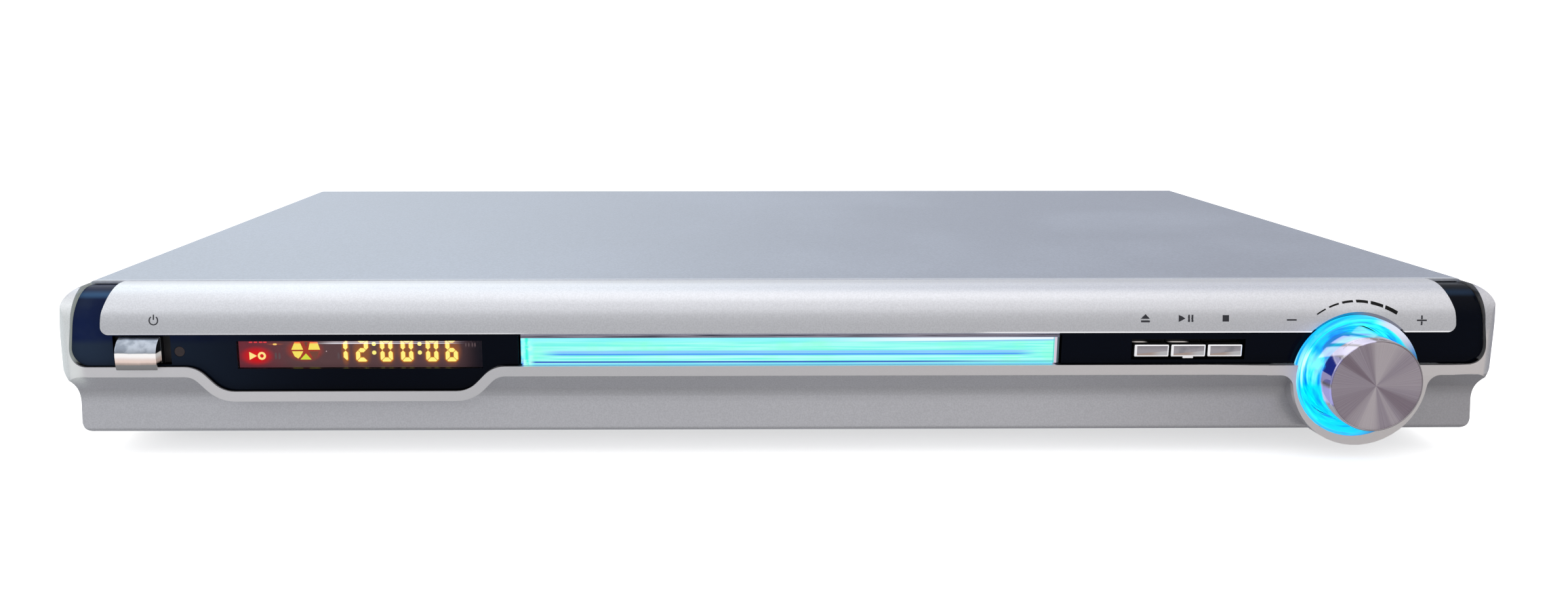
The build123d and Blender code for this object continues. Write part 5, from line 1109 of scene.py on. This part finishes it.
def key_face():
    """Plating with a painted reflection of a grey room above a slanting line and of the bright table below
    it.
    """
    made = Finish("Key face", (0.4, 0.38, 0.4), 0.16, Metallic=1)
    x, _, z = made.axes()
    lines = []
    bright = []
    for name in KEYS:
        low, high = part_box(name)
        here = x.band(low.x, high.x, 0.05 * MM)
        lines.append(here * x.span(low.x, high.x, 31.9 * MM, 32.9 * MM, smooth=False))
        bright.append(here * x.span(low.x + 4.5 * MM, low.x + 8.5 * MM))
    line = lines[0] + (lines[1] + lines[2])
    # Painted reflection of the table: warm at each key's left end, white further right
    table = mix(bright[0] + (bright[1] + bright[2]), (0.78, 0.62, 0.54), (1, 0.99, 1))
    # Painted reflection of the grey room, cloudy
    room = mix(made.smudges(260, 1), (0.72, 0.68, 0.72), (0.5, 0.49, 0.53))
    made.set("Base Color", mix((z - line).mm(-0.12, 0.12, 1, 0), room, table))
    return made


def key_cap(name, finishes):
    """A chrome cap with rounded edges and an inset face, on the key's black flange and stem."""
    low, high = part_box(name)
    middle = (low.x + high.x) / 2
    bm = bmesh.new()
    cap = ((low.x + 0.1 * MM, low.y, 31.1 * MM), (high.x - 0.38 * MM, CAP_BACK, 34.75 * MM))
    rounded_box(bm, *cap, 0.3 * MM, 4)
    flat = max(bm.faces, key=lambda one: -one.calc_center_median().y * 1000 + one.calc_area())
    bmesh.ops.inset_region(bm, faces=[flat], thickness=0.16 * MM, depth=-0.06 * MM)
    flat.material_index = 1
    for vert in flat.verts:
        vert.co.x += 0.34 * MM if vert.co.x < middle else 0
    if name == "play_pause_button":
        nub = ((middle - 1.6 * MM, low.y + 0.4 * MM, 30.5 * MM), (middle + 1.6 * MM, CAP_BACK, 31.4 * MM))
        rounded_box(bm, *nub, 0.2 * MM)
    rounded_box(bm, (low.x, FLANGE_FRONT, 29.25 * MM), (high.x, FLANGE_BACK, 37.15 * MM), 0.1 * MM, 2, 2)
    stem = ((middle - 1.4 * MM, STEM_FRONT, 31.2 * MM), (middle + 1.4 * MM, high.y, 34.6 * MM))
    rounded_box(bm, *stem, 0.1 * MM, 2, 2)
    made = piece(name.replace("_button", "_cap"), bm, name.replace("_button", "_key"), name, *finishes)
    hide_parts(name)


def power_chrome():
    """A bright barrel with a painted reflection of a blue-grey room above the pale table, a painted
    highlight band that glows, and black behind the face.
    """
    made = Finish("Power chrome", (0.88, 0.89, 0.92), 0.12)
    _, y, z = made.axes()
    haze = noise(made.place, 320, 3)
    height = haze * (0.5 * MM) + z
    # Painted reflections: a blue-grey room above, the pale table below, grey at its foot
    room = mix(haze.span(0.35, 0.65), (0.42, 0.47, 0.54), (0.72, 0.78, 0.86))
    table = mix(height.mm(31, 33.2), (1, 0.8, 0.7), (1, 0.98, 0.96))
    table = mix(height.mm(30.1, 30.6, 1, 0), table, (0.56, 0.55, 0.54))
    behind = y.span(-0.1262, -0.1258)
    tone = mix(height.mm(33.7, 34), table, room)
    made.set("Base Color", mix(behind, tone, (0.004, 0.004, 0.006)))
    made.set("Metallic", 1 - behind)
    made.set("Roughness", behind * 0.4 + 0.14)
    # Painted highlight: a broad band that glows across the barrel, warm low down
    shine = height.mm(30.5, 31.4) * height.mm(33.9, 33.6) * (1 - behind)
    made.glow(mix(shine, BLACK, mix(height.mm(31.6, 33.2), (0.36, 0.28, 0.25), (0.5, 0.48, 0.47))))
    return made


class DISCPLAYER_OT_buttons(Step, bpy.types.Operator):
    """Makes the chrome caps of the power button and the three keys"""

    bl_idname = "discplayer.buttons"
    bl_label = "Buttons"

    def build(self, scene):
        finishes = (key_chrome(), key_face(), key_black())
        for name in KEYS:
            key_cap(name, finishes)
        dress(power_chrome(), "power_button", angle=40, bevel=0.3 * MM)
        dress(plastic("Switch black", (0.008, 0.008, 0.009), 0.5), "tact_switches")


# Knob


def turn(made):
    """The angle and the distance from the knob's middle line."""
    x, _, z = made.axes()
    across = x - KNOB_X
    up = z - KNOB_Z
    return up.maths("ARCTAN2", across), distance(across, up)


def cone(angle, middle, half):
    """A painted cone of light on spun metal, about an angle in degrees, fading to both sides; it also sets
    bands of the ring light's colour.
    """
    away = (angle - radians(middle)).maths("COSINE")
    return away.span(cos(radians(half)), cos(radians(half * 0.12)))


def knob_barrel():
    """The chrome barrel: a rolled front edge, a slight taper and a thin wall; its colours and glow are
    painted reflections.
    """
    long = (KNOB_HIGH.y - KNOB_LOW.y) / MM
    outline = [(13.16, 0.8), (13.16, 0.08), (13.22, 0.02), (13.26, 0), (13.34, 0), (13.44, 0.06)]
    outline += [(13.54, 0.2), (13.6, 0.42), (13.9, 0.5 * long), (14.35, long - 0.25), (14.15, long)]
    outline += [(13.05, long), (12.1, 2.4), (4, 2.4), (4, long - 2), (3.2, long - 2), (3.2, 0.8)]
    made = Finish("Knob chrome", (0.86, 0.86, 0.9), 0.12, Metallic=1)
    angle, _ = turn(made)
    depth = made.axes()[1] - KNOB_LOW.y
    # Painted reflections on the chrome follow slanting bands of angle and depth: pale and lavender patches,
    # dark bands and blue
    slant = depth * -30 + angle
    steep = depth * 60 + angle
    dark_reflection_bands = slant.band(2.02, 2.07, 0.03) + slant.band(1.5, 1.62, 0.03)
    patch = (slant.band(1.68, 1.98, 0.03) + slant.band(2.1, 2.38, 0.03)) * depth.mm(11, 10)
    swirl = noise(made.place, 190, 2)
    edge = cone(angle, 121, 40) * (-7.5 * MM) + (swirl * (3 * MM) + depth)
    # Painted reflection of the lit ring's cyan on the barrel's rear part
    deep = edge.mm(6, 7.4) * cone(angle, 188, 128)
    tone = layers(
        mix(slant.span(1.7, 1.78), (0.62, 0.59, 0.66), (1, 0.98, 1)),
        (slant.span(2.5, 2.56), (0.12, 0.16, 0.7)),
        (dark_reflection_bands * 0.85, (0.1, 0.1, 0.2)),
        (angle.span(-3.1, -3.05), (0.5, 0.46, 0.8)),
        (steep.span(-2.7, -2.66), (0.9, 0.88, 0.95)),
        (angle.span(-2, -1.6), (0.55, 0.5, 0.52)),
        (patch, (0.4, 0.36, 0.42)),
        (deep, (0.3, 0.5, 0.6)),
    )
    # Painted reflections that glow: pale, blue and lavender patches and the lit ring's cyan
    pale = steep.band(1.8, 2.45, 0.04) * angle.span(1.2, 1.5) * (1 - dark_reflection_bands)
    glow = layers(
        BLACK,
        (pale, (0.22, 0.21, 0.26)),
        (angle.band(2.5, 3.1, 0.05), (0.01, 0.02, 0.2)),
        (angle.band(-3.1, -2.72, 0.05), (0.2, 0.2, 0.42)),
        (deep, mix(swirl.span(0.38, 0.62), linear(0, 80, 216), linear(0, 178, 244))),
        (patch, mix(swirl, (0.36, 0.36, 0.52), (0.62, 0.6, 0.72))),
    )
    made.set("Base Color", tone)
    made.glow(glow)
    made.set("Roughness", noise(made.place, 500, 2) * 0.08 + 0.05)
    outline = [(radius * MM, KNOB_LOW.y + back * MM) for radius, back in outline + outline[:1]]
    knob = piece("knob_barrel", spun(outline, KNOB, 160), "knob", "volume_knob", made, smooth=40)
    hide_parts("volume_knob")


def glow_washer(lit):
    """A washer behind the ring's bore with a painted glow of the ring's light, so that no dark gap shows
    beside the knob.
    """
    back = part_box("knob_light_ring")[1].y
    corners = ((14.5, 0.5), (15.2, 0.5), (15.2, 0.1), (14.5, 0.1), (14.5, 0.5))
    outline = [(radius * MM, back - depth * MM) for radius, depth in corners]
    piece("ring_glow_washer", spun(outline, KNOB, 96), "case", "knob_light_ring", lit)


def spun_face():
    """The spun metal face: fine rings, and painted cones of light and shade that run out from its middle."""
    shares = [index / 12 for index in range(13)]
    outline = [(12.95 * share, 0.35 - 0.33 * share * share) for share in shares]
    outline += [(13.08, 0.05), (13.14, 0.14), (13.14, 0.79), (0, 0.79)]
    outline = [(radius * MM, KNOB_LOW.y + depth * MM) for radius, depth in outline]
    made = Finish("Spun face", (0.4, 0.36, 0.42), 0.4, Metallic=0.9)
    angle, reach = turn(made)
    rings, spread = (
        add(made.tree, "ShaderNodeTexNoise", {"W": way, "Detail": detail}, noise_dimensions="1D")
        for way, detail in ((reach * 9000, 2), (angle * 7, 3))
    )
    tone = mix(spread.span(0.3, 0.7), (0.45, 0.38, 0.45), (0.56, 0.5, 0.56))
    # Painted highlights and painted shade: cones by angle in degrees, half width and share
    lights = [(84, 24, 0.55), (62, 14, 0.3), (-98, 20, 0.6), (-60, 8, 0.3), (12, 26, 0.2), (-122, 10, 0.25)]
    darks = [(141, 11, 0.6), (-34, 19, 0.5), (-144, 30, 0.2), (108, 12, 0.2)]
    for colour, places in (((0.93, 0.86, 0.86), lights), ((0.2, 0.13, 0.17), darks)):
        for middle, half, share in places:
            tone = mix(cone(angle, middle, half) * share, tone, colour)
    made.set("Base Color", mix(rings * 0.22, tone, (0.3, 0.26, 0.31)))
    made.set("Roughness", rings * 0.16 + 0.34)
    made.bump(rings, 0.06, 0.0001)
    cap = piece("knob_spun_face", spun(outline, KNOB, 144), "knob", "knob_face", made)
    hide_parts("knob_face")


def lit_ring(colour):
    """The clear ring: lit from below the knob round to the upper right, with swirls of light."""
    made = Finish("Ring light", (0.02, 0.05, 0.07), 0.08, Coat_Weight=0.3)
    angle, reach = turn(made)
    x, y, z = made.axes()
    way = (KNOB_Z - z).maths("ARCTAN2", KNOB_X - x)
    swirl = way * (0.35 * MM) + (y * 0.5 + reach)
    spots = add(made.tree, "ShaderNodeCombineXYZ", {0: way * 1.1, 1: swirl * 1500})
    light = noise(spots, 1, 3)
    hue = layers(
        mix(light.span(0.36, 0.5), linear(0, 126, 250), colour),
        (light.span(0.53, 0.66), linear(40, 250, 255)),
        (cone(angle, 170, 26) * light.span(0.44, 0.6), linear(190, 255, 255)),
        (cone(angle, 122, 34) * reach.mm(16.6, 15.4) * 0.55, linear(64, 92, 240)),
        (cone(angle, 66, 26) * light.span(0.42, 0.55), linear(40, 236, 224)),
        (reach.mm(17.3, 18) * 0.55, linear(20, 176, 250)),
        (cone(angle, 50, 30) * reach.mm(16.4, 16.8), linear(196, 198, 212)),
        (cone(angle, -22, 74), linear(40, 28, 84)),
        (y.mm(-126.1, -125.7) * reach.mm(17.7, 18), BLACK),
        (y.mm(-121.25, -121.1), BLACK),
    )
    made.glow(hue, 1.3)
    return made


class DISCPLAYER_OT_knob(Step, bpy.types.Operator):
    """Spins the volume knob and its face, and lights the ring round it"""

    bl_idname = "discplayer.knob"
    bl_label = "Volume knob"

    def build(self, scene):
        knob_barrel()
        spun_face()
        lit = lit_ring(tuple(scene.disc_player_light.ring))
        dress(lit, "knob_light_ring")
        glow_washer(lit)
        dress(turned_metal("Shaft steel", (0.6, 0.6, 0.62)), "encoder_shaft")
        dress(turned_metal("Encoder can", (0.5, 0.5, 0.52), 0.3), "volume_encoder")
        dress(board_finish("Light board", linear(30, 90, 52), 0.004), "ring_led_board")


# Tray and door


def clear_door():
    """The clear door: a lit front with clear ends, and a slim grey brow that covers the slot's top edge."""
    low, high = DOOR_LOW, DOOR_HIGH
    bm = bmesh.new()
    rounded_box(bm, low, high, 0.2 * MM, 2)
    foot = (low.x + 0.4 * MM, low.y + 0.12 * MM, 28.96 * MM)
    rounded_box(bm, foot, (high.x - 1.7 * MM, low.y + 1 * MM, low.z + 0.2 * MM), 0.05 * MM, 1)
    made = piece("door_lens", bm, "tray", "tray_door", lit_front(), smooth=35)
    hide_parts("tray_door")
    bm = bmesh.new()
    brow = (low.x, low.y + 0.03 * MM, high.z - 0.25 * MM)
    rounded_box(bm, brow, (high.x, -125.96 * MM, 38.44 * MM), 0.12 * MM, 2)
    piece("door_brow", bm, "tray", "tray_door", brow_grey(), smooth=35)


def streaks(made, x, z, wide, tall):
    """Noise drawn out along the door."""
    return noise(add(made.tree, "ShaderNodeCombineXYZ", {0: x * wide, 1: z * tall}), 1, 3)


def brow_grey():
    """Dull grey with dark streaks and paler bands: a painted reflection of the dark gap above the door in
    the clear brow.
    """
    made = Finish("Door brow", (0.1, 0.1, 0.13), 0.25, Metallic=0.4)
    x, _, z = made.axes()
    tone = mix(streaks(made, x, z, 60, 2600).span(0.35, 0.65), (0.04, 0.04, 0.065), (0.3, 0.27, 0.33))
    # Painted paler bands along the brow's top and its lower part
    rows = ((z.mm(38, 38.3), (0.34, 0.35, 0.44)), (z.mm(37.5, 37.2), (0.2, 0.22, 0.32)))
    made.set("Base Color", layers(tone, *rows))
    return made


def lit_front():
    """Cyan light with a blue streak at mid height, a deep line low down and clear ends."""
    made = Finish("Door light", (0.03, 0.06, 0.06), 0.06, Coat_Weight=0.2)
    x, _, z = made.axes()
    left, right = DOOR_LOW.x / MM, DOOR_HIGH.x / MM
    inside = x.strip(left + 8.5, right - 9.5, 4)
    haze = streaks(made, x, z, 26, 1100).span(0.36, 0.62)
    deep = x.mm(left + 2.4, left + 2.9) * x.mm(right - 50, right, 1, 0.35)
    end = layers(
        linear(134, 246, 244),
        (x.strip(left + 1.3, left + 2.2, 0.3), linear(20, 240, 214)),
        (z.mm(31.6, 29.8) * x.mm(left + 1, left + 0.5), linear(30, 120, 236)),
        (x.mm(left + 0.3, left + 0.1), linear(60, 206, 246)),
        (made.smudges(700, 0.8), linear(196, 250, 238)),
    )
    brink = z - (x * 0.012 + (36.95 - 0.012 * right) * MM)
    glass = mix(x.mm(right - 0.75, right - 0.6), linear(206, 190, 208), linear(40, 38, 50))
    made.glow(layers(
        mix(haze, linear(104, 238, 226), linear(160, 250, 238)),
        (made.smudges(130, 0.45), linear(128, 250, 196)),
        (z.mm(35.6, 36.6) * 0.6, linear(120, 232, 252)),
        (z.strip(32.55, 33.25, 0.3) * inside * 0.9, linear(128, 178, 248)),
        (z.strip(31.9, 32.45, 0.2) * inside, linear(50, 132, 238)),
        (z.strip(31.1, 31.4, 0.2) * inside * 0.9, linear(190, 255, 255)),
        (z.strip(30.3, 30.5, 0.12) * x.mm(left, left + 10) * 0.7, linear(170, 255, 250)),
        (z.strip(29.6, 30.1, 0.1) * deep, linear(4, 64, 186)),
        (z.mm(29.45, 29.36), linear(120, 214, 240)),
        (x.mm(left + 4.6, left + 2.2), end),
        (brink.strip(-0.75, -0.45, 0.15) * x.span(0.02, 0.06) * 0.8, linear(140, 166, 232)),
        (brink.mm(-0.38, -0.3) * x.span(0, 0.05) * 0.92, linear(240, 240, 252)),
        (x.strip(right - 1.75, right - 1.55, 0.1), linear(20, 190, 186)),
        (x.mm(right - 1.5, right - 1.4), glass),
    ))
    return made


class DISCPLAYER_OT_tray(Step, bpy.types.Operator):
    """Lights the tray's clear door and finishes the tray and its loader"""

    bl_idname = "discplayer.tray"
    bl_label = "Tray and loader"

    def build(self, scene):
        clear_door()
        colour = tuple(scene.disc_player_light.door)
        bar = Finish("Glow bar", colour, 0.4)
        bar.glow(mix(noise(bar.place, 60, 2), [part * 0.8 for part in colour], colour), 1.5)
        dress(bar, "door_light_bar")
        dress(plastic("Tray black", (0.018, 0.018, 0.02), 0.38, 900, 0.1), "disc_tray")
        dress(plastic("Loader black", (0.03, 0.03, 0.032), 0.5, 700, 0.15, 0.3), "loader_frame")
        dress(plastic("Gear white", (0.72, 0.71, 0.66), 0.35, 600, 0.06), "tray_drive_gear", "pulley_gear")
        dress(plastic("Pulley black", (0.03, 0.03, 0.03), 0.4), "motor_pulley")
        dress(plastic("Slider white", (0.7, 0.69, 0.65), 0.4, 600, 0.06), "cam_slider")
        dress(plastic("Belt rubber", (0.015, 0.015, 0.015), 0.7, 900, 0.2), "drive_belt")
        motors = ("loading_motor", "spindle_motor", "sled_motor")
        dress(turned_metal("Motor can", (0.62, 0.62, 0.64), 0.28), *motors)


# Deck


def turntable_black():
    """Black moulding with a bright centring cone."""
    low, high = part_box("turntable")
    made = Finish("Turntable", (0.03, 0.03, 0.03), 0.5)
    x, y, _ = made.axes()
    reach = distance(x - (low.x + high.x) / 2, y - (low.y + high.y) / 2)
    made.set("Base Color", mix(reach.mm(7, 7.6, 1, 0), (0.028, 0.028, 0.03), (0.5, 0.5, 0.52)))
    made.bump(made.grain(1500), 0.15, 0.0001)
    return made


class DISCPLAYER_OT_deck(Step, bpy.types.Operator):
    """Finishes the disc deck: its frame, plate, rods, pickup, turntable and clamp"""

    bl_idname = "discplayer.deck"
    bl_label = "Disc deck"

    def build(self, scene):
        dress(plastic("Deck black", (0.025, 0.025, 0.027), 0.5, 700, 0.15, 0.2), "tilt_frame")
        dress(plastic("Damper rubber", (0.12, 0.03, 0.03), 0.75, 500, 0.2), "deck_dampers")
        dress(zinc_steel("Deck plate"), "pickup_deck")
        dress(zinc_steel("Bridge steel", scale=80), "clamp_bridge")
        dress(turned_metal("Rod steel", (0.75, 0.75, 0.77), 0.12), "guide_rods", "sled_screw")
        dress(turntable_black(), "turntable")
        dress(plastic("Pickup casting", (0.16, 0.16, 0.165), 0.42, 500, 0.25), "optical_pickup")
        dress(plastic("Clamp black", (0.03, 0.03, 0.03), 0.42), "disc_clamp")
        lens = Finish("Lens glass", (0.05, 0.06, 0.16), 0.04, Coat_Weight=1)
        lens.set("Base Color", mix(lens.grain(200), (0.04, 0.05, 0.2), (0.1, 0.05, 0.16)))
        dress(lens, "objective_lens")


# Boards and back


def board_finish(name, colour, pitch):
    """A printed board: lacquer over copper tracks, with rows of bright solder spots."""
    made = Finish(name, colour, 0.35, Coat_Weight=0.3)
    bricks = {"Vector": made.place, "Scale": 1 / pitch / 2, "Color1": BLACK, "Color2": (0.4, 0.4, 0.4)}
    bricks.update({"Mortar": (1, 1, 1), "Mortar Size": 0.035})
    tracks = add(made.tree, "ShaderNodeTexBrick", bricks, "Color")
    spots = {"Vector": made.place, "Scale": 1 / pitch, "Randomness": 0.35}
    solder = add(made.tree, "ShaderNodeTexVoronoi", spots, "Distance").span(0.16, 0.2, 1, 0)
    base = mix(tracks, [value * 0.55 for value in colour[:3]], colour)
    made.set("Base Color", mix(solder, base, (0.62, 0.62, 0.6)))
    made.set("Metallic", solder * 0.9)
    made.bump(solder, 0.3, 0.0002)
    return made


def transformer():
    """Dark ferrite with a yellow tape band round its winding."""
    low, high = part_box("transformer")
    made = Finish("Transformer", (0.05, 0.05, 0.055), 0.5)
    off = (made.axes()[1] - (low.y + high.y) / 2).maths("ABSOLUTE")
    core = made.vary((0.06, 0.06, 0.065), made.grain(900), 0.7, 1.3)
    made.set("Base Color", mix(off.mm(14.2, 14.4), core, (0.75, 0.55, 0.06)))
    made.bump(made.effect("Moulded grain", Scale=600), 0.2, 0.0001)
    return made


def cans():
    """Black sleeves with bare aluminium tops."""
    made = Finish("Capacitor sleeve", (0.02, 0.022, 0.03), 0.3)
    top = facing(made.tree)[2].span(0.9, 0.95)
    sleeve = made.vary((0.02, 0.022, 0.035), made.grain(900), 0.8, 1.3)
    made.set("Base Color", mix(top, sleeve, (0.7, 0.7, 0.72)))
    made.set("Metallic", top)
    return made


def ribbon():
    """A flat cable: pale film over fine tinned wires."""
    made = Finish("Flat cable", (0.75, 0.76, 0.78), 0.35)
    wires = add(made.tree, "ShaderNodeTexWave", {"Vector": made.place, "Scale": 260}, bands_direction="X")
    made.set("Base Color", mix(wires, (0.5, 0.51, 0.53), (0.82, 0.83, 0.85)))
    return made


class DISCPLAYER_OT_boards(Step, bpy.types.Operator):
    """Finishes the boards and the parts that stand on them"""

    bl_idname = "discplayer.boards"
    bl_label = "Boards"

    def build(self, scene):
        dress(board_finish("Main board", linear(22, 84, 48), 0.005), "main_board")
        dress(board_finish("Power board", linear(150, 104, 56), 0.008), "power_board")
        dress(board_finish("Front board", linear(26, 92, 54), 0.006), "display_board", "control_board")
        dress(plastic("Chip black", (0.014, 0.014, 0.016), 0.4, 1500, 0.1), "board_chips")
        dress(transformer(), "transformer")
        dress(cans(), "capacitors")
        dress(turned_metal("Sink aluminium", (0.7, 0.71, 0.73), 0.35, 300), "heat_sink")
        dress(ribbon(), "front_ribbon")


def jack():
    """A black moulding behind the panel and a bright barrel outside it."""
    made = Finish("Jack barrel", (0.75, 0.75, 0.77), 0.18)
    out = made.axes()[1].span(BACK_Y - 0.2 * MM, BACK_Y)
    made.set("Base Color", mix(out, (0.02, 0.02, 0.02), (0.78, 0.78, 0.8)))
    made.set("Metallic", out)
    made.set("Roughness", made.smudges(200, 0.1) + 0.16)
    return made


class DISCPLAYER_OT_sockets(Step, bpy.types.Operator):
    """Finishes the rear sockets and adds their coloured collars"""

    bl_idname = "discplayer.sockets"
    bl_label = "Rear sockets"

    def build(self, scene):
        dress(jack(), "video_jacks", "audio_jacks")
        dress(plastic("Inlet black", (0.018, 0.018, 0.018), 0.4, 800, 0.15), "mains_inlet")
        colours = {
            "yellow": (0.85, 0.6, 0.03),
            "green": (0.03, 0.3, 0.06),
            "blue": (0.03, 0.1, 0.5),
            "red": (0.55, 0.02, 0.02),
            "white": (0.8, 0.8, 0.78),
        }
        made = {name: plastic("Collar " + name, tone, 0.35, 900, 0.08) for name, tone in colours.items()}
        corners = ((4.2, 0.02), (4.2, 1.2), (4.5, 1.5), (5.6, 1.5), (5.9, 1.2), (5.9, 0.02), (4.2, 0.02))
        outline = [(radius * MM, BACK_Y + out * MM) for radius, out in corners]
        columns = [(185, "red", "yellow"), (171, "blue", "green")]
        columns += [(135, "red", "white"), (121, "red", "white")]
        places = [(x, z, tone) for x, *tones in columns for z, tone in zip((22, 36), tones)]
        for index, (x, z, tone) in enumerate(places):
            slot = "video_jacks" if x > 150 else "audio_jacks"
            bm = spun(outline, Vector((x * MM, 0, z * MM)), 48)
            piece(f"jack_collar_{index + 1}", bm, "case", slot, made[tone])


# Panel and start


STEPS = (
    DISCPLAYER_OT_studio,
    DISCPLAYER_OT_case,
    DISCPLAYER_OT_screws,
    DISCPLAYER_OT_face,
    DISCPLAYER_OT_marks,
    DISCPLAYER_OT_display,
    DISCPLAYER_OT_buttons,
    DISCPLAYER_OT_knob,
    DISCPLAYER_OT_tray,
    DISCPLAYER_OT_deck,
    DISCPLAYER_OT_boards,
    DISCPLAYER_OT_sockets,
)


class DISCPLAYER_PT_steps(bpy.types.Panel):
    """Lists the settings and one button for each group of pieces"""

    bl_label = "Disc Player"
    bl_idname = "DISCPLAYER_PT_steps"
    bl_space_type = "VIEW_3D"
    bl_region_type = "UI"
    bl_category = "Disc Player"

    def draw(self, context):
        for group, kind in SETTINGS.items():
            box = self.layout.box()
            for name in kind.__annotations__:
                box.prop(getattr(context.scene, group), name)
        for step in STEPS:
            self.layout.operator(step.bl_idname)


SETTINGS = {
    "disc_player_paint": PaintSettings,
    "disc_player_light": LightSettings,
    "disc_player_marks": MarkSettings,
}
CLASSES = (*SETTINGS.values(), *STEPS, DISCPLAYER_PT_steps)


def register():
    for one in CLASSES:
        bpy.utils.register_class(one)
    for name, kind in SETTINGS.items():
        setattr(bpy.types.Scene, name, bpy.props.PointerProperty(type=kind))


def unregister():
    for name in SETTINGS:
        delattr(bpy.types.Scene, name)
    for one in reversed(CLASSES):
        bpy.utils.unregister_class(one)


def main():
    register()
    make_effects()
    for step in STEPS:
        group, name = step.bl_idname.split(".")
        getattr(getattr(bpy.ops, group), name)()


if __name__ == "__main__":
    main()
